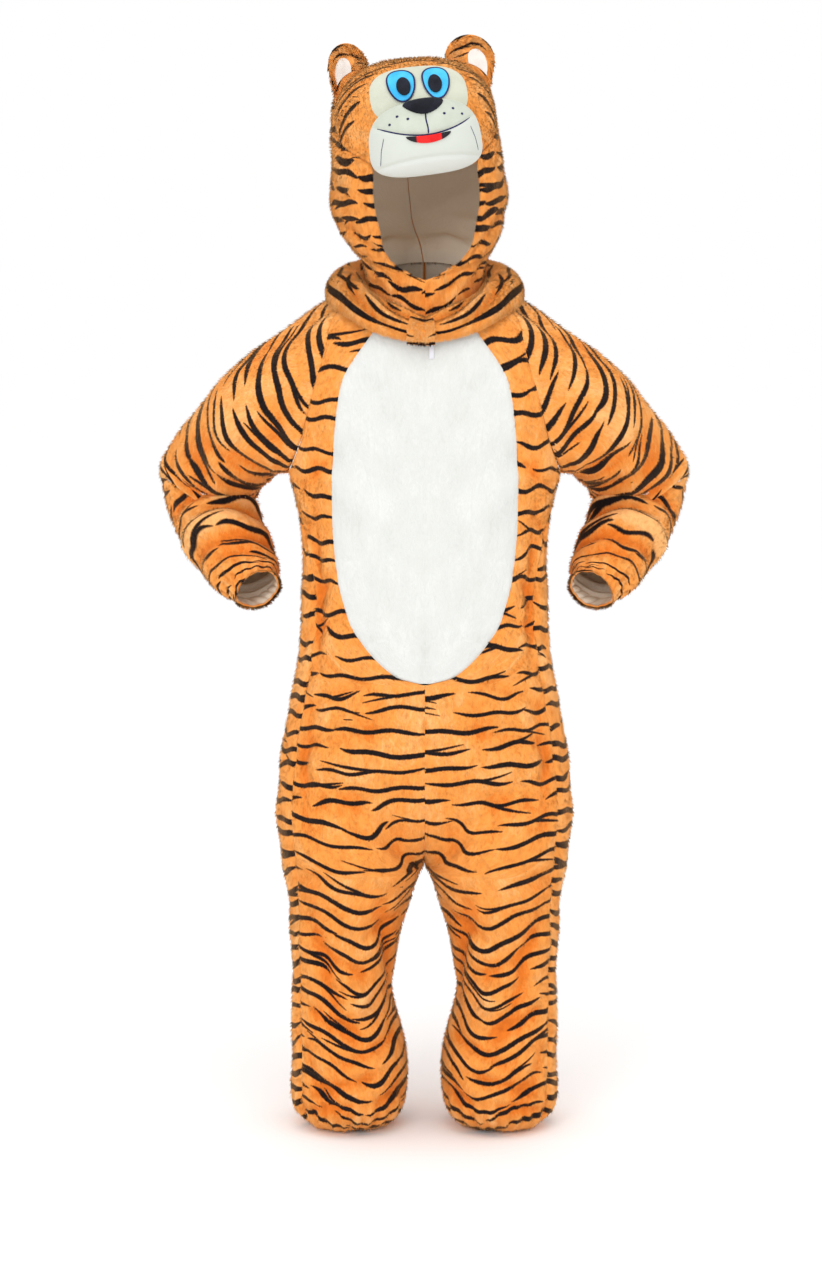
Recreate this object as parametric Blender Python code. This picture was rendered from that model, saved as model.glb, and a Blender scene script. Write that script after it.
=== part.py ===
"""Child's tiger costume: a plush all-in-one with raglan sleeves, a cream belly and a hood with a tiger's face.

It keeps the hollow form it has when worn, hands on hips. Metres, +Z up, front towards -Y. The origin is
where the wearer's neck meets the shoulder line. "left" and "right" are the wearer's own.
"""

import math

import bpy
import numpy as np

MM = 0.001

# Driving sizes
WALL = 2.4 * MM  # plush cloth with its pile
SEAM_GAP = 0.36 * MM  # between two panels at a seam
LAP = 0.5 * MM  # between a piece and the panel it lies on
CROTCH_HEIGHT = -622 * MM
FORK_REACH = 130 * MM  # how far above the crotch the two legs start to part
NECK_LIFT_POWER = 0.6  # how sharply the neckline dips at the front
HEAD_YAW = math.radians(5.5)  # the hood is turned a little to the wearer's left
HEAD_ROLL = math.radians(4.5)  # and leans to the wearer's right
HEAD_PIVOT = np.array([0.0, 0.0, 30 * MM])
MUZZLE_ROLL = math.radians(3.5)  # the stuffed muzzle sits a little more askew than the hood
BROW_ROLL = math.radians(1.2)
FACE_PIVOT_Z = 150 * MM

# Grid sizes
BELLY_COLUMNS = 4
FRONT_COLUMNS = 7
BACK_COLUMNS = 8
NECK_COLUMNS = 4
RAGLAN_ROWS = 6
COLLAR_COLUMNS = 12
COLLAR_ROWS = 6
HOOD_COLUMNS = 8
DOME_COLUMNS = 12


class Sections:
    """A short table of sections. A column is read at any row number, on a smooth curve through its rows."""

    def __init__(self, columns, rows, unit=MM):
        self.columns = columns.split()
        self.values = np.array(rows, float) * np.array([unit if c[0] != "~" else 1.0 for c in self.columns])
        self.columns = [c.lstrip("~") for c in self.columns]
        self.last = len(rows) - 1

    def __call__(self, column, row):
        y = self.values[:, self.columns.index(column)]
        slope = np.gradient(y)
        row = np.clip(np.asarray(row, float), 0, self.last)
        i = np.minimum(row.astype(int), self.last - 1)
        s = row - i
        return (
            (2 * s**3 - 3 * s**2 + 1) * y[i]
            + (s**3 - 2 * s**2 + s) * slope[i]
            + (3 * s**2 - 2 * s**3) * y[i + 1]
            + (s**3 - s**2) * slope[i + 1]
        )

    def row_at(self, column, value):
        """The row number where a rising or falling column first has this value."""
        rows = np.linspace(0, self.last, self.last * 16 + 1)
        held = self(column, rows)
        order = np.argsort(held)
        return np.interp(value, held[order], rows[order])


# Half of the suit, from the neck seam down to the elastic at the ankle. front_edge and back_edge are where
# the front and back panels end, as a share of the half turn from centre front to centre back: the raglan
# seams down to row UNDERARM, and the side seam below it. inner is the inside of the leg.
BODY = Sections(
    "height half_width front back inner ~front_edge ~back_edge ~square lift",
    [
        (-22, 66, 72, 66, 0, 0.360, 0.690, 2.00, 70),
        (-36, 116, 79, 76, 0, 0.312, 0.728, 2.25, 52),
        (-53, 142, 85, 84, 0, 0.244, 0.752, 2.50, 36),
        (-78, 151, 90, 90, 0, 0.243, 0.757, 2.60, 22),
        (-103, 155, 94, 94, 0, 0.261, 0.739, 2.60, 12),
        (-129, 155, 96, 95, 0, 0.288, 0.712, 2.60, 5),
        (-156, 153, 96, 94, 0, 0.333, 0.667, 2.55, 2),
        (-178, 150, 96, 93, 0, 0.415, 0.590, 2.50, 0),
        (-190, 148, 96, 92, 0, 0.500, 0.500, 2.50, 0),
        (-215, 142, 97, 92, 0, 0.470, 0.470, 2.45, 0),
        (-245, 137, 98, 92, 0, 0.420, 0.420, 2.40, 0),
        (-278, 134, 100, 92, 0, 0.380, 0.380, 2.35, 0),
        (-312, 135, 102, 93, 0, 0.358, 0.358, 2.30, 0),
        (-342, 136, 104, 95, 0, 0.350, 0.350, 2.30, 0),
        (-367, 137, 105, 97, 0, 0.348, 0.348, 2.30, 0),
        (-385, 138, 106, 98, 0, 0.348, 0.348, 2.30, 0),
        (-397, 140, 106, 99, 0, 0.348, 0.348, 2.30, 0),
        (-404, 141, 106.5, 99.7, 0, 0.348, 0.348, 2.30, 0),
        (-408, 141.6, 106.7, 100.1, 0, 0.348, 0.348, 2.30, 0),
        (-410, 142, 106.8, 100.3, 0, 0.348, 0.348, 2.30, 0),
        (-430, 146, 108, 103, 0, 0.350, 0.350, 2.30, 0),
        (-460, 152, 108, 107, 0, 0.353, 0.353, 2.25, 0),
        (-490, 157, 109, 110, 0, 0.358, 0.358, 2.25, 0),
        (-520, 161, 109, 112, 0, 0.363, 0.363, 2.20, 0),
        (-550, 164, 109, 112, 0, 0.370, 0.370, 2.20, 0),
        (-576, 164, 108, 111, 0, 0.378, 0.378, 2.20, 0),
        (-598, 162, 106, 109, 0, 0.385, 0.385, 2.20, 0),
        (-613, 160, 104, 107, 0, 0.390, 0.390, 2.20, 0),
        (-620, 159, 103, 106, 0, 0.392, 0.392, 2.20, 0),
        (-622, 158.6, 102.6, 105.6, 0, 0.393, 0.393, 2.20, 0),
        (-640, 155, 98, 102, 8, 0.397, 0.397, 2.20, 0),
        (-664, 152, 92, 96, 16, 0.400, 0.400, 2.20, 0),
        (-690, 150, 86, 91, 24, 0.402, 0.402, 2.20, 0),
        (-716, 149, 81, 86, 30, 0.404, 0.404, 2.20, 0),
        (-742, 148, 77, 81, 34, 0.405, 0.405, 2.20, 0),
        (-766, 148, 75, 78, 37, 0.405, 0.405, 2.20, 0),
        (-788, 148, 75, 78, 33, 0.405, 0.405, 2.20, 0),
        (-812, 149, 77, 78, 26, 0.405, 0.405, 2.20, 0),
        (-838, 148, 78, 78, 21, 0.405, 0.405, 2.20, 0),
        (-862, 149, 79, 77, 19, 0.405, 0.405, 2.20, 0),
        (-884, 150, 78, 75, 20, 0.405, 0.405, 2.20, 0),
        (-901, 146, 70, 68, 24, 0.405, 0.405, 2.15, 0),
        (-913, 137, 58, 56, 33, 0.405, 0.405, 2.10, 0),
        (-920, 126, 46, 44, 44, 0.405, 0.405, 2.05, 0),
        (-919, 118, 36, 34, 52, 0.405, 0.405, 2.00, 0),
        (-911, 115, 32, 31, 55, 0.405, 0.405, 2.00, 0),
    ],
)
UNDERARM = 8
BELLY_END = 18
CROTCH = 29
UNDERARM_X = 148 * MM
UNDERARM_Z = -190 * MM
UNDERARM_THIN = 0.6  # the wall is this share thinner where four panels crowd into the underarm
UNDERARM_REACH = 30 * MM
HEM_GATHERS_FROM = 41

# The cream belly's half width.
BELLY = Sections(
    "height half_width",
    [(-20, 40), (-40, 56), (-63, 74), (-84, 87), (-105, 93), (-137, 97), (-169, 100), (-211, 101), (-254, 100)]
    + [(-297, 95), (-342, 83), (-367, 68), (-385, 52), (-397, 38), (-404, 25), (-408, 8)],
)

# The sleeve past the raglan seam, as it is seen from the front: over is its upper and outer side, under its
# inner side, depth how far its middle lies behind the shoulder, thick its half thickness front to back.
SLEEVE = Sections(
    "over_x over_z under_x under_z depth thick",
    [
        (214, -80, 173, -197, 36, 59),
        (247, -116, 182, -208, 66, 57),
        (277, -147, 190, -219, 94, 55),
        (295, -174, 197, -227, 110, 53),
        (299, -204, 199, -233, 112, 50),
        (292, -235, 194, -242, 100, 49),
        (279, -259, 183, -257, 80, 48),
        (263, -278, 171, -272, 55, 46),
        (250, -295, 163, -286, 30, 42),
        (236, -312, 162, -295, 10, 35),
        (219, -323, 164, -298, 0, 28),
        (204, -333, 164, -299, -10, 26),
    ],
)
CUFF_GATHERS_FROM = 9
GATHER_DEPTH = 1.3 * MM

# The hood, from where it tucks into the neckline up to the crown. edge is the face opening up to row
# FACE_TOP, and the crown seam above it, as a share of the half turn from centre front.
HOOD = Sections(
    "height half_width front back ~square ~edge lift",
    [
        (-28, 64.2, 69.2, 63.0, 2.00, 0.000, 70),
        (-17, 64.2, 69.4, 63.1, 2.00, 0.000, 70),
        (-4, 65.6, 71.4, 66, 2.05, 0.000, 63),
        (9, 67.5, 72.5, 70.5, 2.10, 0.000, 54),
        (21, 71, 74, 77, 2.10, 0.000, 46),
        (28, 74, 76, 81, 2.15, 0.138, 41),
        (42, 80, 80, 89, 2.15, 0.180, 32),
        (63, 87, 85, 97, 2.20, 0.191, 22),
        (88, 93, 90, 104, 2.25, 0.194, 12),
        (114, 95, 94, 109, 2.30, 0.195, 5),
        (140, 92, 99, 111, 2.30, 0.197, 1),
        (151, 91, 103, 112, 2.30, 0.240, 0),
        (163, 90, 107, 112, 2.30, 0.330, 0),
        (178, 89, 109, 111, 2.30, 0.415, 0),
        (195, 88, 109, 109, 2.30, 0.453, 0),
        (212, 85, 106, 104, 2.25, 0.470, 0),
        (228, 78, 97, 94, 2.20, 0.478, 0),
        (241, 65, 81, 78, 2.15, 0.480, 0),
        (250, 50, 60, 57, 2.10, 0.480, 0),
        (255.5, 38, 38, 37, 2.00, 0.480, 0),
        (258, 28, 16, 16, 2.00, 0.480, 0),
        (258.5, 24, 0.35, 0.35, 2.00, 0.480, 0),
    ],
)
FACE_TOP = 10

# Pieces of the face: middle x and z, half width, up, down, how much wider it is low down, roundness.
MUZZLE_BASE = tuple(v * MM for v in (0, 168, 50, 31, 20, 2)) + (0.65,)
MUZZLE = tuple(v * MM for v in (0, 163, 59, 42, 34, 5)) + (0.68,)
BROW = tuple(v * MM for v in (0, 213, 50, 29, 30, 0)) + (0.72,)
EYE = tuple(v * MM for v in (17.5, 221.5, 13, 14.5, 15.5, -3.0)) + (0.88,)
PUPIL = tuple(v * MM for v in (15.6, 219.5, 6.8, 8.4, 8.4, 0)) + (1.0,)
NOSE = tuple(v * MM for v in (0, 198.5, 20.0, 4.6, 9.0, -6.0)) + (1.0,)
MOUTH = tuple(v * MM for v in (0, 165.5, 23, 2.2, 5.5, 0)) + (1.0,)
SMILE = 5.9  # how much the mouth bends up, per metre
MUZZLE_HEIGHT = 50 * MM
MUZZLE_RIM_SHARE = 0.40
MUZZLE_COLUMNS = 30
MUZZLE_FLARE = [(0.0, 0.03), (0.45, 0.10), (0.85, 0.22)]
MUZZLE_RINGS = [1.0, 0.985, 0.94, 0.86, 0.74, 0.58, 0.40, 0.20, 0.0]
BROW_LIFT = 0.9 * MM
EYE_LIFT = BROW_LIFT + LAP + 3.2 * MM
PUPIL_LIFT = EYE_LIFT + LAP + 1.7 * MM
EAR_X = 66 * MM
EAR_Z = 254 * MM
EAR_Y = -8 * MM
EAR_RADIUS = 27 * MM
EAR_YAW_LEFT = math.radians(4)
EAR_YAW_RIGHT = math.radians(34)
EAR_THICK = 5 * MM
EAR_CUP = 7 * MM
EAR_LEAN = 0.22
EAR_FOOT_OUTER = 216 * MM
EAR_FOOT_INNER = 252.2 * MM
EAR_FROM = math.radians(-42)  # where the ear's round rim leaves its foot, on its outer side
EAR_TO = math.radians(173)
EAR_CLEARANCE = 0.45 * MM

TAB_FROM = -0.061  # the collar's tab, as a share of the half turn
TAB_TO = 0.034
TAB_DROP = 6 * MM
TAB_THICK = 2.6 * MM
ZIP_X = 7 * MM
ZIP_WIDTH = 5 * MM
ZIP_TOP = -46 * MM
ZIP_LOW = -62 * MM

# The cape collar's hem, round from centre front to centre back, and how high the cloth rises off its root
# and hem before it turns over.
COLLAR = Sections(
    "hem_x hem_y hem_z root_up hem_up",
    [
        (0, -92, -42, 3, 9),
        (26, -92, -39, 4, 10),
        (50, -87, -32, 6, 13),
        (71, -76, -22, 9, 17),
        (89, -56, -11, 12, 21),
        (103, -30, 0, 13, 22),
        (107, 0, 7, 13, 22),
        (105, 28, 9, 14, 22),
        (96, 56, 6, 14, 23),
        (78, 80, 1, 14, 23),
        (54, 96, -4, 14, 23),
        (28, 105, -8, 14, 23),
        (0, 108, -10, 14, 23),
    ],
)

# Largest folds in the suit: each runs from one place to another, given as a height and a share of the half
# turn, and sinks by depth over about width to each side.
BODY_FOLDS = Sections(
    "at_a ~turn_a at_b ~turn_b depth width",
    [
        (-655, 0.36, -850, 0.20, 8, 13),
        (-640, 0.19, -765, 0.03, 7, 12),
        (-825, 0.40, -892, 0.27, 6, 12),
        (-640, 0.62, -788, 0.66, 8, 15),
        (-690, 0.90, -825, 0.80, 8, 14),
        (-800, 0.60, -892, 0.82, 7, 14),
        (-245, 0.33, -400, 0.31, 6, 13),
        (-440, 0.30, -590, 0.33, 5, 15),
        (-215, 0.60, -375, 0.66, 7, 17),
        (-335, 0.86, -425, 0.70, 7, 16),
        (-500, 0.93, -590, 0.80, 6, 15),
    ],
)
HALF_TURN_LENGTH = 430 * MM  # round half of the suit

# Largest folds in a sleeve: distance down from the raglan seam, and share of the whole turn from the inside of
# the arm by way of its front.
SLEEVE_FOLDS = Sections(
    "at_a ~turn_a at_b ~turn_b depth width",
    [
        (212, 0.02, 240, 0.42, 8, 11),
        (260, 0.02, 250, 0.46, 9, 10),
        (290, 0.00, 305, 0.40, 7, 9),
        (330, 0.10, 322, 0.55, 8, 10),
        (215, 0.98, 245, 0.60, 8, 12),
        (275, 0.98, 280, 0.62, 8, 11),
        (332, 0.90, 335, 0.60, 6, 10),
        (62, 0.30, 162, 0.20, 5, 14),
    ],
)
SLEEVE_TURN_LENGTH = 310 * MM
SLEEVE_ROW_LENGTH = 25 * MM

COLOURS = {
    "tiger_plush": (0.86, 0.36, 0.07, 1.0),
    "cream_plush": (0.90, 0.88, 0.80, 1.0),
    "cream_felt": (0.80, 0.80, 0.68, 1.0),
    "ear_lining": (0.78, 0.70, 0.62, 1.0),
    "blue_felt": (0.08, 0.48, 0.88, 1.0),
    "black_felt": (0.012, 0.012, 0.018, 1.0),
    "red_felt": (0.80, 0.05, 0.05, 1.0),
    "zip_tape": (0.85, 0.84, 0.90, 1.0),
}


def power(value, exponent):
    return np.sign(value) * np.abs(value) ** exponent


def smoothstep(low, high, value):
    s = np.clip((value - low) / (high - low), 0, 1)
    return s * s * (3 - 2 * s)


def stacked(x, y, z):
    return np.stack(np.broadcast_arrays(x, y, z), axis=-1)


def unit(vectors):
    return vectors / np.maximum(np.linalg.norm(vectors, axis=-1, keepdims=True), 1e-12)


def line_folds(table, at, turn, turn_length, whole_turn=False):
    """How deep the cloth sinks at each point, from a table of folds. Each fold fades out at its two ends."""
    sunk = np.zeros(np.broadcast(at, turn).shape)
    for i in range(table.last + 1):
        run = np.array([table("at_b", i) - table("at_a", i), table("turn_b", i) - table("turn_a", i)])
        if whole_turn:
            run[1] -= round(run[1])
        run[1] *= turn_length
        rise, across = at - table("at_a", i), (turn - table("turn_a", i)) * turn_length
        if whole_turn:
            across = across - turn_length * np.round((across - run[1] / 2) / turn_length)
        along = np.clip((rise * run[0] + across * run[1]) / (run @ run), 0, 1)
        away = np.hypot(rise - along * run[0], across - along * run[1])
        fade = 0.25 + 0.75 * np.sin(math.pi * np.clip(along, 0.04, 0.96))
        sunk = sunk + table("depth", i) * fade * np.exp(-((away / table("width", i)) ** 2))
    return sunk


def neck_rise(angle):
    """0 at centre front and 1 at centre back, steep at the front so that the neckline dips in a V."""
    return ((1 - np.cos(angle)) / 2) ** NECK_LIFT_POWER


def ring_point(table, row, turn):
    """A point of a level ring round the body or the head. turn is 0 at centre front and 1 at centre back."""
    angle = math.pi * np.asarray(turn, float)
    e = 2 / table("square", row)
    depth = np.where(np.cos(angle) > 0, table("front", row), table("back", row))
    x = table("half_width", row) * power(np.sin(angle), e)
    y = -depth * power(np.cos(angle), e)
    z = table("height", row) + table("lift", row) * neck_rise(angle)
    return stacked(x, y, z)


def leg_point(row, turn):
    """A point of a ring round one leg. turn is 0 at the inseam, and goes round by way of the front."""
    angle = 2 * math.pi * np.asarray(turn, float)
    e = 2 / BODY("square", row)
    middle = (BODY("half_width", row) + BODY("inner", row)) / 2
    half = (BODY("half_width", row) - BODY("inner", row)) / 2
    depth = np.where(np.sin(angle) > 0, BODY("front", row), BODY("back", row))
    return stacked(
        middle - half * power(np.cos(angle), e), -depth * power(np.sin(angle), e), BODY("height", row)
    )


def body_form(row, turn):
    """The suit's smooth form before its folds: one ring round the body, which parts into two round the legs."""
    row, turn = np.broadcast_arrays(np.asarray(row, float), np.asarray(turn, float))
    up = np.clip((BODY("height", row) - CROTCH_HEIGHT) / FORK_REACH, 0, 1)
    near_seam = np.exp(-((turn / 0.12) ** 2)) + np.exp(-(((1 - turn) / 0.12) ** 2))
    seam_share = 1 - np.sqrt(np.maximum(2 * up - up**2, 0))
    side_share = 1 - smoothstep(0, 1, up)
    share = np.where(row >= CROTCH, 1, near_seam * seam_share + (1 - near_seam) * side_share)[..., None]
    return (1 - share) * ring_point(BODY, row, turn) + share * leg_point(row, turn)


def normals_of(form, row, turn, row_step=0.05, turn_step=0.004):
    """Outward normals of a form, from points a little way along it each way."""
    down = form(row + row_step, turn) - form(row - row_step, turn)
    round_it = form(row, turn + turn_step) - form(row, turn - turn_step)
    return unit(np.cross(down, round_it))


def body_point(row, turn):
    """A point of the suit's outer face, on the wearer's left half."""
    row, turn = np.broadcast_arrays(np.asarray(row, float), np.asarray(turn, float))
    inside = np.clip(turn, 0.006, 0.994)
    outward = normals_of(body_form, np.clip(row, 0.06, BODY.last - 0.06), inside)
    sunk = line_folds(BODY_FOLDS, BODY("height", row), turn, HALF_TURN_LENGTH)
    keep = smoothstep(0.0, 0.05, turn) * smoothstep(0.0, 0.05, 1 - turn)
    point = body_form(row, turn) - outward * (sunk * keep)[..., None]
    at_centre = (row <= CROTCH) & ((turn <= 0) | (turn >= 1))
    point[..., 0] = np.where(at_centre, 0, np.maximum(point[..., 0], 0))
    return point


def belly_turn(row):
    """Where the cream belly ends at each row, as a share of the half turn."""
    height = BODY("height", row)
    half = BELLY("half_width", BELLY.row_at("height", height))
    share = np.clip(half / BODY("half_width", row), 0, 1) ** (BODY("square", row) / 2)
    return np.where(np.asarray(row) > BELLY_END + 0.5, 0, np.arcsin(share) / math.pi)


def armhole_point(turn):
    """The raglan seam, from the underarm up the front, across the neck edge and down the back."""
    turn = np.asarray(turn, float)
    front_row = UNDERARM * np.clip(1 - turn / 0.4, 0, 1)
    back_row = UNDERARM * np.clip((turn - 0.6) / 0.4, 0, 1)
    row = np.where(turn < 0.4, front_row, np.where(turn > 0.6, back_row, 0))
    across = np.clip((turn - 0.4) / 0.2, 0, 1)
    over_neck = BODY("front_edge", 0) * (1 - across) + BODY("back_edge", 0) * across
    body_turn = np.where(
        turn < 0.4, BODY("front_edge", row), np.where(turn > 0.6, BODY("back_edge", row), over_neck)
    )
    return body_point(row, body_turn)


def sleeve_middle(section):
    return stacked(
        (SLEEVE("over_x", section) + SLEEVE("under_x", section)) / 2,
        SLEEVE("depth", section),
        (SLEEVE("over_z", section) + SLEEVE("under_z", section)) / 2,
    )


def sleeve_ring(section, turn):
    """A point of a ring round the arm, past the raglan. turn 0 is its inner side, 0.25 front, 0.5 outer."""
    angle = 2 * math.pi * np.asarray(turn, float)
    half = stacked(
        (SLEEVE("over_x", section) - SLEEVE("under_x", section)) / 2,
        0.0,
        (SLEEVE("over_z", section) - SLEEVE("under_z", section)) / 2,
    )
    along = unit(sleeve_middle(section + 0.5) - sleeve_middle(section - 0.5))
    forward = unit(np.cross(along, unit(half))) * SLEEVE("thick", section)[..., None]
    return sleeve_middle(section) - half * np.cos(angle)[..., None] + forward * np.sin(angle)[..., None]


def sleeve_form(row, turn):
    """The sleeve's smooth form. Rows 0 to RAGLAN_ROWS run from the raglan seam to the first arm ring."""
    row, turn = np.broadcast_arrays(np.asarray(row, float), np.asarray(turn, float) % 1.0)
    start, end = armhole_point(turn), sleeve_ring(np.zeros(turn.shape), turn)
    reach = np.linalg.norm(end - start, axis=-1, keepdims=True)
    rise = 0.04 * np.maximum(-np.cos(2 * math.pi * turn), 0)
    push = 0.55 * np.maximum(np.cos(2 * math.pi * turn), 0)
    leave = unit(unit(end - start) + stacked(push, 0.0, rise))
    arrive = unit(sleeve_middle(0.5) - sleeve_middle(0.0))
    near, far = start + leave * reach / 3, end - arrive * reach / 3
    s = np.clip(row / RAGLAN_ROWS, 0, 1)[..., None]
    raglan = start * (1 - s) ** 3 + 3 * near * s * (1 - s) ** 2 + 3 * far * s**2 * (1 - s) + end * s**3
    arm = sleeve_ring(np.maximum(row - RAGLAN_ROWS, 0), turn)
    return np.where((row < RAGLAN_ROWS)[..., None], raglan, arm)


def sleeve_point(row, turn):
    """A point of the left sleeve's outer face, with its largest folds."""
    row, turn = np.broadcast_arrays(np.asarray(row, float), np.asarray(turn, float))
    last = RAGLAN_ROWS + SLEEVE.last
    outward = -normals_of(sleeve_form, np.clip(row, 0.06, last - 0.06), turn)
    sunk = line_folds(SLEEVE_FOLDS, row * SLEEVE_ROW_LENGTH, turn % 1.0, SLEEVE_TURN_LENGTH, whole_turn=True)
    keep = smoothstep(0.0, 2.0, row) * smoothstep(last - 0.5, last - 2.5, row)
    return sleeve_form(row, turn) - outward * (sunk * keep)[..., None]


def hood_point(row, turn):
    """A point of the hood before it is turned with the head. A turn below 0 is on the wearer's right."""
    return ring_point(HOOD, row, turn)


def head_pose(points):
    """Turns the hood with the head. The neck end stays put, and the turn grows over the jaw."""
    share = smoothstep(20 * MM, 95 * MM, points[..., 2])
    yaw, roll = HEAD_YAW * share, HEAD_ROLL * share
    p = points - HEAD_PIVOT
    x, y = p[..., 0] * np.cos(yaw) - p[..., 1] * np.sin(yaw), p[..., 0] * np.sin(yaw) + p[..., 1] * np.cos(yaw)
    z = p[..., 2]
    return stacked(x * np.cos(roll) - z * np.sin(roll), y, x * np.sin(roll) + z * np.cos(roll)) + HEAD_PIVOT


def collar_point(row, turn):
    """A point of the collar's outer face. row 0 is its root on the hood, 1 its hem; turn as on the hood."""
    turn = np.asarray(turn, float)
    station = np.abs(turn) * COLLAR.last
    root = ring_point(BODY, np.zeros(turn.shape), turn)
    middle = stacked(0.0, 0.0, root[..., 2])
    root = middle + (root - middle) * 1.005 + stacked(0.0, 0.0, 3.2 * MM)
    side = np.where(turn < 0, -1.0, 1.0)
    hem = stacked(COLLAR("hem_x", station) * side, COLLAR("hem_y", station), COLLAR("hem_z", station))
    outward = unit(stacked(hem[..., 0], hem[..., 1], 0.0))
    near = root + outward * (16 * MM) + stacked(0.0, 0.0, COLLAR("root_up", station))
    far = hem + outward * (5 * MM) + stacked(0.0, 0.0, COLLAR("hem_up", station))
    s = np.asarray(row, float)[..., None]
    return root * (1 - s) ** 3 + 3 * near * s * (1 - s) ** 2 + 3 * far * s**2 * (1 - s) + hem * s**3


def dome_point(x, z):
    """The point of the hood's forehead that shows at this place from the front, before the head's turn."""
    row = HOOD.row_at("height", z)
    n = HOOD("square", row)
    across = np.clip(np.abs(x) / HOOD("half_width", row), 0, 0.999)
    return stacked(x, -HOOD("front", row) * (1 - across**n) ** (1 / n), z)


def dome_normal(x, z):
    step = 0.5 * MM
    return unit(
        np.cross(
            dome_point(x + step, z) - dome_point(x - step, z), dome_point(x, z + step) - dome_point(x, z - step)
        )
    )


def mirrored(grid):
    return grid * np.array([-1.0, 1.0, 1.0])


def face_normals(grid):
    """The summed normals of the faces round each point of a grid, pointing the way of its rows by columns."""
    down, across = grid[1:, :-1] - grid[:-1, :-1], grid[:-1, 1:] - grid[:-1, :-1]
    down_far, across_far = grid[1:, 1:] - grid[:-1, 1:], grid[1:, 1:] - grid[1:, :-1]
    cell = np.cross(down, across) + np.cross(down_far, across_far)
    total = np.zeros(grid.shape)
    for i in (0, 1):
        for j in (0, 1):
            total[i : i + cell.shape[0], j : j + cell.shape[1]] += cell
    return total


def shared_normals(grids):
    """Normals for several grids, the same on both sides of each seam where their points meet."""
    signs = {name: -1 if name.endswith("_right") else 1 for name in grids}
    totals = {name: unit(face_normals(grid)) * signs[name] for name, grid in grids.items()}
    at_point = {}
    for name, grid in grids.items():
        for key, normal in zip(map(tuple, np.round(grid.reshape(-1, 3) / (0.02 * MM))), totals[name].reshape(-1, 3)):
            at_point[key] = at_point.get(key, 0) + normal
    shared = {}
    for name, grid in grids.items():
        keys = map(tuple, np.round(grid.reshape(-1, 3) / (0.02 * MM)))
        shared[name] = unit(np.array([at_point[key] for key in keys]).reshape(grid.shape))
    return shared


def parted(grid, gap=SEAM_GAP):
    """The grid with its four edges drawn in by half a seam's gap, square to each edge."""
    moved = grid.copy()
    for turned in (False, True):
        held, out = (grid.swapaxes(0, 1), moved.swapaxes(0, 1)) if turned else (grid, moved)
        for edge, inside in ((0, 1), (-1, -2)):
            along = unit(np.gradient(held[edge], axis=0))
            inward = held[inside] - held[edge]
            inward = unit(inward - along * (inward * along).sum(-1, keepdims=True))
            out[edge] += inward * gap / 2
    return moved


def solid_between(name, outer, inner, material, closed_columns=False):
    """One closed solid between two grids of the same shape. Faces point from inner to outer."""
    rows, columns = outer.shape[:2]
    count = rows * columns
    points = np.concatenate([outer.reshape(-1, 3), inner.reshape(-1, 3)])
    steps = columns if closed_columns else columns - 1
    faces = []
    for i in range(rows - 1):
        for j in range(steps):
            k = (j + 1) % columns
            a, b, c, d = i * columns + j, (i + 1) * columns + j, (i + 1) * columns + k, i * columns + k
            faces += [(a, b, c, d), (a + count, d + count, c + count, b + count)]
    for j in range(steps):
        k = (j + 1) % columns
        top, end = (j, k), ((rows - 1) * columns + j, (rows - 1) * columns + k)
        faces += [(top[0], top[1], top[1] + count, top[0] + count)]
        faces += [(end[1], end[0], end[0] + count, end[1] + count)]
    if not closed_columns:
        for i in range(rows - 1):
            a, b = i * columns, (i + 1) * columns
            faces += [(b, a, a + count, b + count)]
            a, b = a + columns - 1, b + columns - 1
            faces += [(a, b, b + count, a + count)]
    if (face_normals(outer) * (outer - inner)).sum() < 0:
        faces = [(face[0], *face[:0:-1]) for face in faces]  # the same diagonals as on the other side
    return add_solid(name, points, faces, material)


def add_solid(name, points, faces, material):
    mesh = bpy.data.meshes.new(name)
    mesh.from_pydata([tuple(p) for p in points], [], [tuple(int(i) for i in face) for face in faces])
    mesh.materials.append(material)
    mesh.update()
    mesh.shade_smooth()
    made = bpy.data.objects.new(name, mesh)
    costume.objects.link(made)
    return made


def cloth(name, grid, normals, material, thick=WALL):
    """A panel of cloth: its outer face is the grid, parted from its neighbours, and its wall lies inside."""
    outer = parted(grid)
    return solid_between(name, outer, outer - normals * thick, material)


def pad(name, base, top, material):
    """A stuffed or laid-on piece between two polar grids. Row 0 is the rim, and the last row is the middle."""
    rows, columns = base.shape[:2]
    points, faces = [], []
    for start, grid in ((0, top), ((rows - 1) * columns + 1, base)):
        points += [*grid[:-1].reshape(-1, 3), grid[-1].mean(0)]
        middle = start + (rows - 1) * columns
        for j in range(columns):
            k = (j + 1) % columns
            cells = [(start + i * columns + j, start + i * columns + k) for i in range(rows - 1)]
            made = [(a, b, d, c) for (a, b), (c, d) in zip(cells[:-1], cells[1:])]
            made.append((*cells[-1], middle))
            faces += made if start == 0 else [face[::-1] for face in made]
    under = (rows - 1) * columns + 1
    for j in range(columns):
        k = (j + 1) % columns
        faces.append((j, under + j, under + k, k))
    return add_solid(name, points, faces, material)


def outline(shape, angles):
    """The outline of a piece of the face, as x and z about its middle."""
    _, _, half_x, up, down, spread, roundness = shape
    x = power(np.cos(angles), roundness) * (half_x - spread * np.sin(angles))
    return x, np.where(np.sin(angles) > 0, up, down) * power(np.sin(angles), roundness)


def askew(x, z, roll):
    """A place on the face turned about the middle of the forehead's lower half."""
    z = z - FACE_PIVOT_Z
    return x * math.cos(roll) - z * math.sin(roll), x * math.sin(roll) + z * math.cos(roll) + FACE_PIVOT_Z


def muzzle_base_top(x):
    """The top of the muzzle's footprint on the forehead."""
    across = np.clip(np.abs(x) / MUZZLE_BASE[2], 0, 1)
    return MUZZLE_BASE[1] + MUZZLE_BASE[3] * (1 - across ** (2 / MUZZLE_BASE[6])) ** (MUZZLE_BASE[6] / 2)


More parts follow.
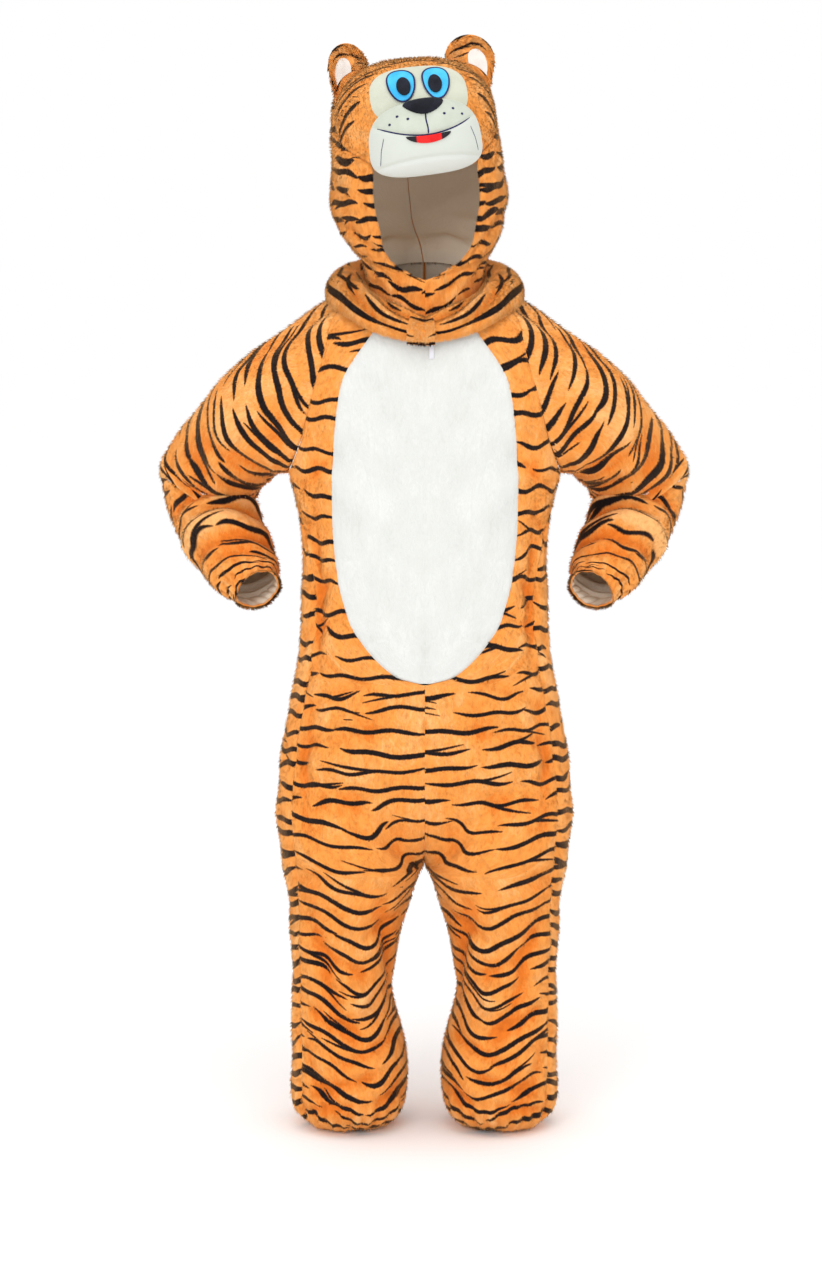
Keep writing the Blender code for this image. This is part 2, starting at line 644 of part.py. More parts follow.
def muzzle_depth(x, z):
    """How far forward the muzzle's face lies at each place inside its outline."""
    angles = np.linspace(0, 2 * math.pi, 721)
    ox, oz = outline(MUZZLE, angles)
    held = np.unwrap(np.arctan2(oz, ox))
    dx, dz = x - MUZZLE[0], z - MUZZLE[1]
    full = np.interp(np.arctan2(dz, dx) % (2 * math.pi), held, np.hypot(ox, oz))
    reach = np.clip(np.hypot(dx, dz) / full, 0, 1)
    bx = dx * MUZZLE_BASE[2] / MUZZLE[2]
    bz = np.where(dz > 0, dz * MUZZLE_BASE[3] / MUZZLE[3], dz * MUZZLE_BASE[4] / MUZZLE[4])
    held_y = dome_point(*askew(MUZZLE_BASE[0] + bx, MUZZLE_BASE[1] + bz, MUZZLE_ROLL))[..., 1]
    rise = MUZZLE_RIM_SHARE + (1 - MUZZLE_RIM_SHARE) * np.sqrt(1 - reach**2.6)
    return held_y - MUZZLE_HEIGHT * rise


def muzzle_point(x, z):
    turned_x, turned_z = askew(x, z, MUZZLE_ROLL)
    return stacked(turned_x, muzzle_depth(x, z), turned_z)


def muzzle_face(x, z, off):
    """A point off the muzzle's face by this much."""
    step = 0.6 * MM
    across = muzzle_point(x + step, z) - muzzle_point(x - step, z)
    up = muzzle_point(x, z + step) - muzzle_point(x, z - step)
    return muzzle_point(x, z) + unit(np.cross(across, up)) * np.asarray(off)[..., None]


def dome_face(x, z, off):
    """A point off the forehead by this much."""
    turned_x, turned_z = askew(x, z, BROW_ROLL)
    return dome_point(turned_x, turned_z) + dome_normal(turned_x, turned_z) * np.asarray(off)[..., None]


def make_muzzle(material):
    angles = np.linspace(0, 2 * math.pi, MUZZLE_COLUMNS, endpoint=False)
    bx, bz = outline(MUZZLE_BASE, angles)
    ox, oz = outline(MUZZLE, angles)
    rings = []
    for spread, share in MUZZLE_FLARE:
        x = (MUZZLE_BASE[0] + bx) * (1 - spread) + (MUZZLE[0] + ox) * spread
        z = (MUZZLE_BASE[1] + bz) * (1 - spread) + (MUZZLE[1] + oz) * spread
        held = dome_point(*askew(MUZZLE_BASE[0] + bx, MUZZLE_BASE[1] + bz, MUZZLE_ROLL))[..., 1]
        x, z = askew(x, z, MUZZLE_ROLL)
        rings.append(stacked(x, held - LAP - MUZZLE_HEIGHT * share, z))
    for reach in MUZZLE_RINGS:
        rings.append(muzzle_point(MUZZLE[0] + ox * reach, MUZZLE[1] + oz * reach))
    base = []
    for inward in np.linspace(1, 0, len(rings)):
        x, z = askew(MUZZLE_BASE[0] + bx * inward, MUZZLE_BASE[1] + bz * inward, MUZZLE_ROLL)
        base.append(dome_point(x, z) + dome_normal(x, z) * LAP)
    pad("muzzle", head_pose(np.array(base)), head_pose(np.array(rings)), material["cream_felt"])


def laid_on(name, shape, surface, lift, rim, rise, columns, rows, fabric, low=None, bend=0.0):
    """A flat or gently stuffed piece that lies on a surface: rim thick at its edge, and rise more in its middle."""
    angles = np.linspace(0, 2 * math.pi, columns, endpoint=False)
    ox, oz = outline(shape, angles)
    reach = np.linspace(1, 0, rows)[:, None]
    if low is not None:
        oz = np.maximum(shape[1] + oz, low(shape[0] + ox) + 2 * LAP) - shape[1]
    x, z = shape[0] + ox * reach, shape[1] + oz * reach
    z = z + bend * (x - shape[0]) ** 2
    base = surface(x, z, lift)
    top = surface(x, z, lift + rim + rise * np.sqrt(1 - reach**2))
    pad(name, head_pose(base), head_pose(top), fabric)


def ear_grid(side, across, up, forward):
    """A point of an ear: across runs from its outer foot over to its inner foot, up from its foot to its rim."""
    foot_z = EAR_FOOT_OUTER + (EAR_FOOT_INNER - EAR_FOOT_OUTER) * across
    row = HOOD.row_at("height", foot_z)
    out = unit(stacked(0.5 + 0.5 * (1 - across), 0.0, 0.35 + 0.65 * across))
    foot = stacked(HOOD("half_width", row), 0.0, foot_z) + out * EAR_CLEARANCE
    turn = EAR_FROM + (EAR_TO - EAR_FROM) * across
    yaw = EAR_YAW_LEFT if side > 0 else EAR_YAW_RIGHT
    reach = EAR_RADIUS * np.cos(turn)
    rim = stacked(EAR_X + reach * math.cos(yaw), -reach * math.sin(yaw), EAR_Z + EAR_RADIUS * np.sin(turn))
    up = np.asarray(up)[..., None]
    point = foot * (1 - up) + rim * up
    cup = EAR_CUP * 4 * across * (1 - across) * up[..., 0]
    point[..., 1] += EAR_Y + EAR_LEAN * (point[..., 2] - EAR_Z) + cup - forward
    return point * np.array([side, 1.0, 1.0])


def make_front_closing(material):
    """The tab that holds the collar's front, and the end of the front zip's tape below it."""
    rows = np.array([0.34, 0.5, 0.66, 0.82, 0.94, 1.0])[:, None]
    grid = collar_point(rows, np.linspace(TAB_FROM, TAB_TO, 6))
    drop = grid[-1:] + np.array([0.0, -1.0 * MM, -TAB_DROP])
    grid = np.concatenate([grid, drop])
    normals = unit(face_normals(grid))
    outer, inner = grid + normals * (LAP + TAB_THICK), grid + normals * LAP
    solid_between("neck_tab", outer, inner, material["tiger_plush"])
    rows = np.linspace(*BODY.row_at("height", np.array([ZIP_TOP, ZIP_LOW])), 4)[:, None]
    x = np.linspace(ZIP_X - ZIP_WIDTH / 2, ZIP_X + ZIP_WIDTH / 2, 3)
    turn = np.arcsin((x / BODY("half_width", rows)) ** (BODY("square", rows) / 2)) / math.pi
    grid = body_point(rows, turn)
    normals = unit(face_normals(grid))
    outer, inner = grid + normals * (LAP + 1.2 * MM), grid + normals * LAP
    solid_between("zip_end", outer, inner, material["zip_tape"])


def make_ears(material):
    across = np.linspace(0, 1, 13)
    for name, side in (("left", 1.0), ("right", -1.0)):
        up = np.linspace(0, 1, 7)[:, None]
        full = np.sqrt(np.clip(1 - np.abs(2 * across - 1) ** 3, 0, 1) * (1 - 0.92 * up**4))
        half = 0.9 * MM + EAR_THICK * full
        front, back = ear_grid(side, across, up, half), ear_grid(side, across, up, -half)
        solid_between("ear_" + name, head_pose(front), head_pose(back), material["tiger_plush"])
        inner, height = np.linspace(0.30, 0.70, 7), np.linspace(0.05, 0.66, 5)[:, None]
        full = np.sqrt(np.clip(1 - np.abs(2 * inner - 1) ** 3, 0, 1) * (1 - 0.92 * height**4))
        half = 0.9 * MM + EAR_THICK * full
        front = ear_grid(side, inner, height, half + LAP + 1.4 * MM)
        back = ear_grid(side, inner, height, half + LAP)
        solid_between("ear_lining_" + name, head_pose(front), head_pose(back), material["ear_lining"])


def make_face(material):
    make_muzzle(material)
    cream, blue, black = material["cream_felt"], material["blue_felt"], material["black_felt"]
    laid_on("brow_patch", BROW, dome_face, BROW_LIFT, 1.6 * MM, 1.6 * MM, 28, 5, cream, muzzle_base_top)
    for name, side in (("left", 1.0), ("right", -1.0)):
        eye, pupil = (EYE[0] * side, *EYE[1:]), (PUPIL[0] * side, *PUPIL[1:])
        laid_on("eye_" + name, eye, dome_face, EYE_LIFT, 1.0 * MM, 0.6 * MM, 18, 4, blue)
        laid_on("pupil_" + name, pupil, dome_face, PUPIL_LIFT, 0.8 * MM, 0.8 * MM, 14, 3, black)
    laid_on("nose", NOSE, muzzle_face, LAP, 1.5 * MM, 5.0 * MM, 20, 5, black)
    laid_on("mouth", MOUTH, muzzle_face, LAP, 0.9 * MM, 0.6 * MM, 18, 3, material["red_felt"], bend=SMILE)


def body_grids():
    """The panels of the suit on both sides, as grids that meet exactly at their seams."""
    rows = np.arange(BODY.last + 1)[:, None]
    left = {}
    belly_rows = rows[: BELLY_END + 1]
    left["belly"] = body_point(belly_rows, belly_turn(belly_rows) * np.linspace(0, 1, BELLY_COLUMNS + 1))
    start, end = belly_turn(rows), BODY("front_edge", rows)
    left["front"] = body_point(rows, start + (end - start) * np.linspace(0, 1, FRONT_COLUMNS + 1))
    start = BODY("back_edge", rows)
    left["back"] = body_point(rows, start + (1 - start) * np.linspace(0, 1, BACK_COLUMNS + 1))
    for name in ("front", "back"):
        left[name] = gathered(left[name], HEM_GATHERS_FROM, stacked(0.085, 0.0, 0.0))
    turns = np.concatenate(
        [
            0.4 * (1 - np.arange(UNDERARM, 0, -1) / UNDERARM),
            np.linspace(0.4, 0.6, NECK_COLUMNS + 1),
            0.6 + 0.4 * np.arange(1, UNDERARM + 1) / UNDERARM,
        ]
    )
    sleeve_rows = np.arange(RAGLAN_ROWS + SLEEVE.last + 1)[:, None]
    left["sleeve"] = sleeve_point(sleeve_rows, turns)
    left["sleeve"] = gathered(left["sleeve"], RAGLAN_ROWS + CUFF_GATHERS_FROM, None)
    grids = {}
    for name, grid in left.items():
        grids[name + "_left"], grids[name + "_right"] = grid, mirrored(grid)
    return grids


def gathered(grid, first_row, middle):
    """Every second column drawn in below first_row, as elastic gathers the cloth. The edges stay put."""
    grid = grid.copy()
    for i in range(first_row, grid.shape[0]):
        centre = grid[i].mean(0) if middle is None else np.array([middle[0], middle[1], grid[i][0, 2]])
        pull = GATHER_DEPTH * min(1.0, (i - first_row + 1) / 2)
        grid[i, 1:-1:2] -= unit(grid[i, 1:-1:2] - centre) * pull
        grid[i, 2:-1:2] += unit(grid[i, 2:-1:2] - centre) * pull
    return grid


def hood_grids():
    rows = np.arange(HOOD.last, -1, -1)[:, None]
    edge = HOOD("edge", rows)
    left = hood_point(rows, edge + (1 - edge) * np.linspace(0, 1, HOOD_COLUMNS + 1))
    dome_rows = rows[: HOOD.last - FACE_TOP + 1]
    dome = hood_point(dome_rows, HOOD("edge", dome_rows) * np.linspace(-1, 1, DOME_COLUMNS + 1))
    return {
        "hood_left": head_pose(left),
        "hood_right": head_pose(mirrored(left)),
        "hood_forehead": head_pose(dome),
    }


def collar_grids():
    rows = np.linspace(0, 1, COLLAR_ROWS + 1)[:, None]
    left = collar_point(rows, np.linspace(0, 1, COLLAR_COLUMNS + 1))
    return {"collar_left": left, "collar_right": mirrored(left)}


def make_clothing(material):
    suit = body_grids()
    normals = shared_normals(suit)
    for name, grid in suit.items():
        fabric = material["cream_plush"] if name.startswith("belly") else material["tiger_plush"]
        x, y, z = np.moveaxis(grid, -1, 0)
        away = np.sqrt((np.abs(x) - UNDERARM_X) ** 2 + y**2 + (z - UNDERARM_Z) ** 2)
        thin = 1 - UNDERARM_THIN * np.exp(-((away / UNDERARM_REACH) ** 2))
        cloth(name, grid, normals[name], fabric, WALL * thin[..., None])
    for grids in (hood_grids(), collar_grids()):
        normals = shared_normals(grids)
        for name, grid in grids.items():
            cloth(name, grid, normals[name], material["tiger_plush"])


def make_materials():
    made = {}
    for name, colour in COLOURS.items():
        made[name] = bpy.data.materials.new(name)
        made[name].use_nodes = True
        surface = made[name].node_tree.nodes["Principled BSDF"]
        surface.inputs["Base Color"].default_value = colour
        surface.inputs["Roughness"].default_value = 0.9
        surface.inputs["Metallic"].default_value = 0.0
    return made


for old in list(bpy.data.objects):
    bpy.data.objects.remove(old)
costume = bpy.data.collections.new("tiger_costume")
bpy.context.scene.collection.children.link(costume)
materials = make_materials()
make_clothing(materials)
make_front_closing(materials)
make_ears(materials)
make_face(materials)
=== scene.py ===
"""Looks of the child's tiger costume: each cut piece of plush on the form of its solid, with its folds,
stripes, sewing and pile, and the stuffed face on the hood. Metres, +Z up, front towards -Y."""

import math

import bpy
import numpy as np
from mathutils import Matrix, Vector


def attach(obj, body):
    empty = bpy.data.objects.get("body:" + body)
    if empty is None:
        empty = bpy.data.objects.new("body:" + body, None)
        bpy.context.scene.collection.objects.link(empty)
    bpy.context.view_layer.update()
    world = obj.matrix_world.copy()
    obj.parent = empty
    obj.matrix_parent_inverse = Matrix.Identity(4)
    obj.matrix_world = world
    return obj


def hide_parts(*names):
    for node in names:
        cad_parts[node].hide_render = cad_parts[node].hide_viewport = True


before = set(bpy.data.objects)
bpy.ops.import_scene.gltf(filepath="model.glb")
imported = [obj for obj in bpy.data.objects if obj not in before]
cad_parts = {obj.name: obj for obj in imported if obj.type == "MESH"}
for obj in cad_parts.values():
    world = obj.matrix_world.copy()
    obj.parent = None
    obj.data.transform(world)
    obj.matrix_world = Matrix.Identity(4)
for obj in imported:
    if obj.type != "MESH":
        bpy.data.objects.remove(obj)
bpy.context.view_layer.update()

MM = 0.001
CLOTH = 2.2 * MM  # how thick the plush is with its backing
CELL = 4.2 * MM  # size of a panel's mesh cells
LAP = 0.5 * MM  # how far a laid-on piece stands off what carries it
CROTCH_HEIGHT = -622 * MM
FORK_REACH = 130 * MM  # how far above the crotch the body starts to part into legs
FORK_SEAM = 0.12  # how far from a centre seam it parts first, as a share of the half turn
NECK_LIFT_POWER = 0.6
HEAD_YAW = math.radians(5.5)
HEAD_ROLL = math.radians(4.5)
HEAD_PIVOT = np.array([0.0, 0.0, 30 * MM])
MUZZLE_ROLL = math.radians(3.5)
BROW_ROLL = math.radians(1.2)
FACE_PIVOT_Z = 150 * MM
JAW = (20 * MM, 95 * MM)  # the hood's turn grows between these heights
RAGLAN_ROWS = 6
CROTCH = 29
MUZZLE_RIM_SHARE = 0.40
SMILE_HEIGHT = 168.4 * MM  # the mouth's line on the muzzle, at its middle
SMILE_BEND = 5.6  # how much it bends up, per metre
LIP_SEAM_HEIGHT = 145 * MM  # the seam under the mouth, at its middle
LIP_SEAM_BEND = 1.6  # how much it bends down, per metre


class Sections:
    """A short table of sections. A column is read at any row number, on a smooth curve through its rows."""

    def __init__(self, columns, rows, unit=MM):
        self.columns = columns.split()
        self.values = np.array(rows, float) * np.array([unit if c[0] != "~" else 1.0 for c in self.columns])
        self.columns = [c.lstrip("~") for c in self.columns]
        self.last = len(rows) - 1

    def __call__(self, column, row):
        y = self.values[:, self.columns.index(column)]
        slope = np.gradient(y)
        row = np.clip(np.asarray(row, float), 0, self.last)
        i = np.minimum(row.astype(int), self.last - 1)
        s = row - i
        return (
            (2 * s**3 - 3 * s**2 + 1) * y[i]
            + (s**3 - 2 * s**2 + s) * slope[i]
            + (3 * s**2 - 2 * s**3) * y[i + 1]
            + (s**3 - s**2) * slope[i + 1]
        )

    def row_at(self, column, value):
        """The row number where a rising or falling column first has this value."""
        rows = np.linspace(0, self.last, self.last * 16 + 1)
        held = self(column, rows)
        order = np.argsort(held)
        return np.interp(value, held[order], rows[order])


# Half of the suit, from the neck seam down to the elastic at the ankle. front_edge and back_edge are where
# the front and back panels end, as a share of the half turn from centre front to centre back: the raglan
# seams down to row UNDERARM, and the side seam below it. inner is the inside of the leg.
BODY = Sections(
    "height half_width front back inner ~front_edge ~back_edge ~square lift",
    [
        (-22, 66, 72, 66, 0, 0.360, 0.690, 2.00, 70),
        (-36, 116, 79, 76, 0, 0.312, 0.728, 2.25, 52),
        (-53, 142, 85, 84, 0, 0.244, 0.752, 2.50, 36),
        (-78, 151, 90, 90, 0, 0.243, 0.757, 2.60, 22),
        (-103, 155, 94, 94, 0, 0.261, 0.739, 2.60, 12),
        (-129, 155, 96, 95, 0, 0.288, 0.712, 2.60, 5),
        (-156, 153, 96, 94, 0, 0.333, 0.667, 2.55, 2),
        (-178, 150, 96, 93, 0, 0.415, 0.590, 2.50, 0),
        (-190, 148, 96, 92, 0, 0.500, 0.500, 2.50, 0),
        (-215, 142, 97, 92, 0, 0.470, 0.470, 2.45, 0),
        (-245, 137, 98, 92, 0, 0.420, 0.420, 2.40, 0),
        (-278, 134, 100, 92, 0, 0.380, 0.380, 2.35, 0),
        (-312, 135, 102, 93, 0, 0.358, 0.358, 2.30, 0),
        (-342, 136, 104, 95, 0, 0.350, 0.350, 2.30, 0),
        (-367, 137, 105, 97, 0, 0.348, 0.348, 2.30, 0),
        (-385, 138, 106, 98, 0, 0.348, 0.348, 2.30, 0),
        (-397, 140, 106, 99, 0, 0.348, 0.348, 2.30, 0),
        (-404, 141, 106.5, 99.7, 0, 0.348, 0.348, 2.30, 0),
        (-408, 141.6, 106.7, 100.1, 0, 0.348, 0.348, 2.30, 0),
        (-410, 142, 106.8, 100.3, 0, 0.348, 0.348, 2.30, 0),
        (-430, 146, 108, 103, 0, 0.350, 0.350, 2.30, 0),
        (-460, 152, 108, 107, 0, 0.353, 0.353, 2.25, 0),
        (-490, 157, 109, 110, 0, 0.358, 0.358, 2.25, 0),
        (-520, 161, 109, 112, 0, 0.363, 0.363, 2.20, 0),
        (-550, 164, 109, 112, 0, 0.370, 0.370, 2.20, 0),
        (-576, 164, 108, 111, 0, 0.378, 0.378, 2.20, 0),
        (-598, 162, 106, 109, 0, 0.385, 0.385, 2.20, 0),
        (-613, 160, 104, 107, 0, 0.390, 0.390, 2.20, 0),
        (-620, 159, 103, 106, 0, 0.392, 0.392, 2.20, 0),
        (-622, 158.6, 102.6, 105.6, 0, 0.393, 0.393, 2.20, 0),
        (-640, 155, 98, 102, 8, 0.397, 0.397, 2.20, 0),
        (-664, 152, 92, 96, 16, 0.400, 0.400, 2.20, 0),
        (-690, 150, 86, 91, 24, 0.402, 0.402, 2.20, 0),
        (-716, 149, 81, 86, 30, 0.404, 0.404, 2.20, 0),
        (-742, 148, 77, 81, 34, 0.405, 0.405, 2.20, 0),
        (-766, 148, 75, 78, 37, 0.405, 0.405, 2.20, 0),
        (-788, 148, 75, 78, 33, 0.405, 0.405, 2.20, 0),
        (-812, 149, 77, 78, 26, 0.405, 0.405, 2.20, 0),
        (-838, 148, 78, 78, 21, 0.405, 0.405, 2.20, 0),
        (-862, 149, 79, 77, 19, 0.405, 0.405, 2.20, 0),
        (-884, 150, 78, 75, 20, 0.405, 0.405, 2.20, 0),
        (-901, 146, 70, 68, 24, 0.405, 0.405, 2.15, 0),
        (-913, 137, 58, 56, 33, 0.405, 0.405, 2.10, 0),
        (-920, 126, 46, 44, 44, 0.405, 0.405, 2.05, 0),
        (-919, 118, 36, 34, 52, 0.405, 0.405, 2.00, 0),
        (-911, 115, 32, 31, 55, 0.405, 0.405, 2.00, 0),
    ],
)
UNDERARM = 8
BELLY_END = 18
# The cream belly's half width.
BELLY = Sections(
    "height half_width",
    [
        (-20, 40),
        (-40, 56),
        (-63, 74),
        (-84, 87),
        (-105, 93),
        (-137, 97),
        (-169, 100),
        (-211, 101),
        (-254, 100),
        (-297, 95),
        (-342, 83),
        (-367, 68),
        (-385, 52),
        (-397, 38),
        (-404, 25),
        (-408, 8),
    ],
)

# The sleeve past the raglan seam, as it is seen from the front: over is its upper and outer side, under its
# inner side, depth how far its middle lies behind the shoulder, thick its half thickness front to back.
SLEEVE = Sections(
    "over_x over_z under_x under_z depth thick",
    [
        (214, -80, 173, -197, 36, 59),
        (247, -116, 182, -208, 66, 57),
        (277, -147, 190, -219, 94, 55),
        (295, -174, 197, -227, 110, 53),
        (299, -204, 199, -233, 112, 50),
        (292, -235, 194, -242, 100, 49),
        (279, -259, 183, -257, 80, 48),
        (263, -278, 171, -272, 55, 46),
        (250, -295, 163, -286, 30, 42),
        (236, -312, 162, -295, 10, 35),
        (219, -323, 164, -298, 0, 28),
        (204, -333, 164, -299, -10, 26),
    ],
)

# The hood, from where it tucks into the neckline up to the crown. edge is the face opening up to row
# FACE_TOP, and the crown seam above it, as a share of the half turn from centre front.
HOOD = Sections(
    "height half_width front back ~square ~edge lift",
    [
        (-28, 64.2, 69.2, 63.0, 2.00, 0.000, 70),
        (-17, 64.2, 69.4, 63.1, 2.00, 0.000, 70),
        (-4, 65.6, 71.4, 66, 2.05, 0.000, 63),
        (9, 67.5, 72.5, 70.5, 2.10, 0.000, 54),
        (21, 71, 74, 77, 2.10, 0.000, 46),
        (28, 74, 76, 81, 2.15, 0.138, 41),
        (42, 80, 80, 89, 2.15, 0.180, 32),
        (63, 87, 85, 97, 2.20, 0.191, 22),
        (88, 93, 90, 104, 2.25, 0.194, 12),
        (114, 95, 94, 109, 2.30, 0.195, 5),
        (140, 92, 99, 111, 2.30, 0.197, 1),
        (151, 91, 103, 112, 2.30, 0.240, 0),
        (163, 90, 107, 112, 2.30, 0.330, 0),
        (178, 89, 109, 111, 2.30, 0.415, 0),
        (195, 88, 109, 109, 2.30, 0.453, 0),
        (212, 85, 106, 104, 2.25, 0.470, 0),
        (228, 78, 97, 94, 2.20, 0.478, 0),
        (241, 65, 81, 78, 2.15, 0.480, 0),
        (250, 50, 60, 57, 2.10, 0.480, 0),
        (255.5, 38, 38, 37, 2.00, 0.480, 0),
        (258, 28, 16, 16, 2.00, 0.480, 0),
        (258.5, 24, 0.35, 0.35, 2.00, 0.480, 0),
    ],
)
FACE_TOP = 10

# Pieces of the face: middle x and z, half width, up, down, how much wider it is low down, roundness.
MUZZLE_BASE = tuple(v * MM for v in (0, 168, 50, 31, 20, 2)) + (0.65,)
MUZZLE = tuple(v * MM for v in (0, 163, 59, 42, 34, 5)) + (0.68,)
BROW = tuple(v * MM for v in (0, 213, 50, 29, 30, 0)) + (0.72,)
EYE = tuple(v * MM for v in (17.5, 221.5, 13, 14.5, 15.5, -3.0)) + (0.88,)
PUPIL = tuple(v * MM for v in (15.6, 219.5, 6.8, 8.4, 8.4, 0)) + (1.0,)
NOSE = tuple(v * MM for v in (0, 198.5, 20.0, 4.6, 9.0, -6.0)) + (1.0,)
MOUTH = tuple(v * MM for v in (0, 165.5, 23, 2.2, 5.5, 0)) + (1.0,)
SMILE = 5.9  # how much the mouth bends up, per metre
MUZZLE_HEIGHT = 50 * MM
BROW_LIFT = 0.9 * MM
EYE_LIFT = BROW_LIFT + LAP + 3.2 * MM
PUPIL_LIFT = EYE_LIFT + LAP + 1.7 * MM
EAR_X = 66 * MM
EAR_Z = 254 * MM
EAR_Y = -8 * MM
EAR_RADIUS = 27 * MM
EAR_YAW_LEFT = math.radians(4)
EAR_YAW_RIGHT = math.radians(34)
EAR_THICK = 5 * MM
EAR_CUP = 7 * MM
EAR_LEAN = 0.22
EAR_FOOT_OUTER = 216 * MM
EAR_FOOT_INNER = 252.2 * MM
EAR_FROM = math.radians(-42)  # where the ear's round rim leaves its foot, on its outer side
EAR_TO = math.radians(173)
EAR_CLEARANCE = 0.45 * MM

TAB_FROM = -0.061  # the collar's tab, as a share of the half turn
TAB_TO = 0.034
TAB_DROP = 6 * MM
ZIP_X = 7 * MM
ZIP_WIDTH = 5 * MM
ZIP_TOP = -46 * MM
ZIP_LOW = -62 * MM

# The cape collar's hem, round from centre front to centre back, and how high the cloth rises off its root
# and hem before it turns over.
COLLAR = Sections(
    "hem_x hem_y hem_z root_up hem_up",
    [
        (0, -92, -42, 3, 9),
        (26, -92, -39, 4, 10),
        (50, -87, -32, 6, 13),
        (71, -76, -22, 9, 17),
        (89, -56, -11, 12, 21),
        (103, -30, 0, 13, 22),
        (107, 0, 7, 13, 22),
        (105, 28, 9, 14, 22),
        (96, 56, 6, 14, 23),
        (78, 80, 1, 14, 23),
        (54, 96, -4, 14, 23),
        (28, 105, -8, 14, 23),
        (0, 108, -10, 14, 23),
    ],
)

# Largest folds in the suit: each runs from one place to another, given as a height and a share of the half
# turn, and sinks by depth over about width to each side.
BODY_FOLDS = Sections(
    "at_a ~turn_a at_b ~turn_b depth width",
    [
        (-655, 0.36, -850, 0.20, 8, 13),
        (-640, 0.19, -765, 0.03, 7, 12),
        (-825, 0.40, -892, 0.27, 6, 12),
        (-640, 0.62, -788, 0.66, 8, 15),
        (-690, 0.90, -825, 0.80, 8, 14),
        (-800, 0.60, -892, 0.82, 7, 14),
        (-245, 0.33, -400, 0.31, 6, 13),
        (-440, 0.30, -590, 0.33, 5, 15),
        (-215, 0.60, -375, 0.66, 7, 17),
        (-335, 0.86, -425, 0.70, 7, 16),
        (-500, 0.93, -590, 0.80, 6, 15),
    ],
)
HALF_TURN_LENGTH = 430 * MM  # round half of the suit

# Largest folds in a sleeve: distance down from the raglan seam, and share of the whole turn from the inside
# of the arm by way of its front.
SLEEVE_FOLDS = Sections(
    "at_a ~turn_a at_b ~turn_b depth width",
    [
        (212, 0.02, 240, 0.42, 8, 11),
        (260, 0.02, 250, 0.46, 9, 10),
        (290, 0.00, 305, 0.40, 7, 9),
        (330, 0.10, 322, 0.55, 8, 10),
        (215, 0.98, 245, 0.60, 8, 12),
        (275, 0.98, 280, 0.62, 8, 11),
        (332, 0.90, 335, 0.60, 6, 10),
        (62, 0.30, 162, 0.20, 5, 14),
    ],
)
SLEEVE_TURN_LENGTH = 310 * MM
SLEEVE_ROW_LENGTH = 25 * MM
def power(value, exponent):
    return np.sign(value) * np.abs(value) ** exponent


def smoothstep(low, high, value):
    s = np.clip((value - low) / (high - low), 0, 1)
    return s * s * (3 - 2 * s)


def stacked(x, y, z):
    return np.stack(np.broadcast_arrays(x, y, z), axis=-1)


def unit(vectors):
    return vectors / np.maximum(np.linalg.norm(vectors, axis=-1, keepdims=True), 1e-12)


def line_folds(table, at, turn, turn_length, whole_turn=False):
    """How deep the cloth sinks at each point, from a table of folds. Each fold fades out at its two ends."""
    sunk = np.zeros(np.broadcast(at, turn).shape)
    for i in range(table.last + 1):
        run = np.array([table("at_b", i) - table("at_a", i), table("turn_b", i) - table("turn_a", i)])
        if whole_turn:
            run[1] -= round(run[1])
        run[1] *= turn_length
        rise, across = at - table("at_a", i), (turn - table("turn_a", i)) * turn_length
        if whole_turn:
            across = across - turn_length * np.round((across - run[1] / 2) / turn_length)
        along = np.clip((rise * run[0] + across * run[1]) / (run @ run), 0, 1)
        away = np.hypot(rise - along * run[0], across - along * run[1])
        fade = 0.25 + 0.75 * np.sin(math.pi * np.clip(along, 0.04, 0.96))
        sunk = sunk + table("depth", i) * fade * np.exp(-((away / table("width", i)) ** 2))
    return sunk


def neck_rise(angle):
    """0 at centre front and 1 at centre back, steep at the front so that the neckline dips in a V."""
    return ((1 - np.cos(angle)) / 2) ** NECK_LIFT_POWER


def ring_point(table, row, turn):
    """A point of a level ring round the body or the head. turn is 0 at centre front and 1 at centre back."""
    angle = math.pi * np.asarray(turn, float)
    e = 2 / table("square", row)
    depth = np.where(np.cos(angle) > 0, table("front", row), table("back", row))
    x = table("half_width", row) * power(np.sin(angle), e)
    y = -depth * power(np.cos(angle), e)
    z = table("height", row) + table("lift", row) * neck_rise(angle)
    return stacked(x, y, z)


def leg_point(row, turn):
    """A point of a ring round one leg. turn is 0 at the inseam, and goes round by way of the front."""
    angle = 2 * math.pi * np.asarray(turn, float)
    e = 2 / BODY("square", row)
    middle = (BODY("half_width", row) + BODY("inner", row)) / 2
    half = (BODY("half_width", row) - BODY("inner", row)) / 2
    depth = np.where(np.sin(angle) > 0, BODY("front", row), BODY("back", row))
    return stacked(
        middle - half * power(np.cos(angle), e), -depth * power(np.sin(angle), e), BODY("height", row)
    )


def body_form(row, turn):
    """The suit's smooth form before its folds: a ring round the body, which parts into two round the legs."""
    row, turn = np.broadcast_arrays(np.asarray(row, float), np.asarray(turn, float))
    up = np.clip((BODY("height", row) - CROTCH_HEIGHT) / FORK_REACH, 0, 1)
    near_seam = np.exp(-((turn / FORK_SEAM) ** 2)) + np.exp(-(((1 - turn) / FORK_SEAM) ** 2))
    seam_share = 1 - np.sqrt(np.maximum(2 * up - up**2, 0))
    side_share = 1 - smoothstep(0, 1, up)
    share = np.where(row >= CROTCH, 1, near_seam * seam_share + (1 - near_seam) * side_share)[..., None]
    return (1 - share) * ring_point(BODY, row, turn) + share * leg_point(row, turn)


def normals_of(form, row, turn, row_step=0.05, turn_step=0.004):
    """Outward normals of a form, from points a little way along it each way."""
    down = form(row + row_step, turn) - form(row - row_step, turn)
    round_it = form(row, turn + turn_step) - form(row, turn - turn_step)
    return unit(np.cross(down, round_it))


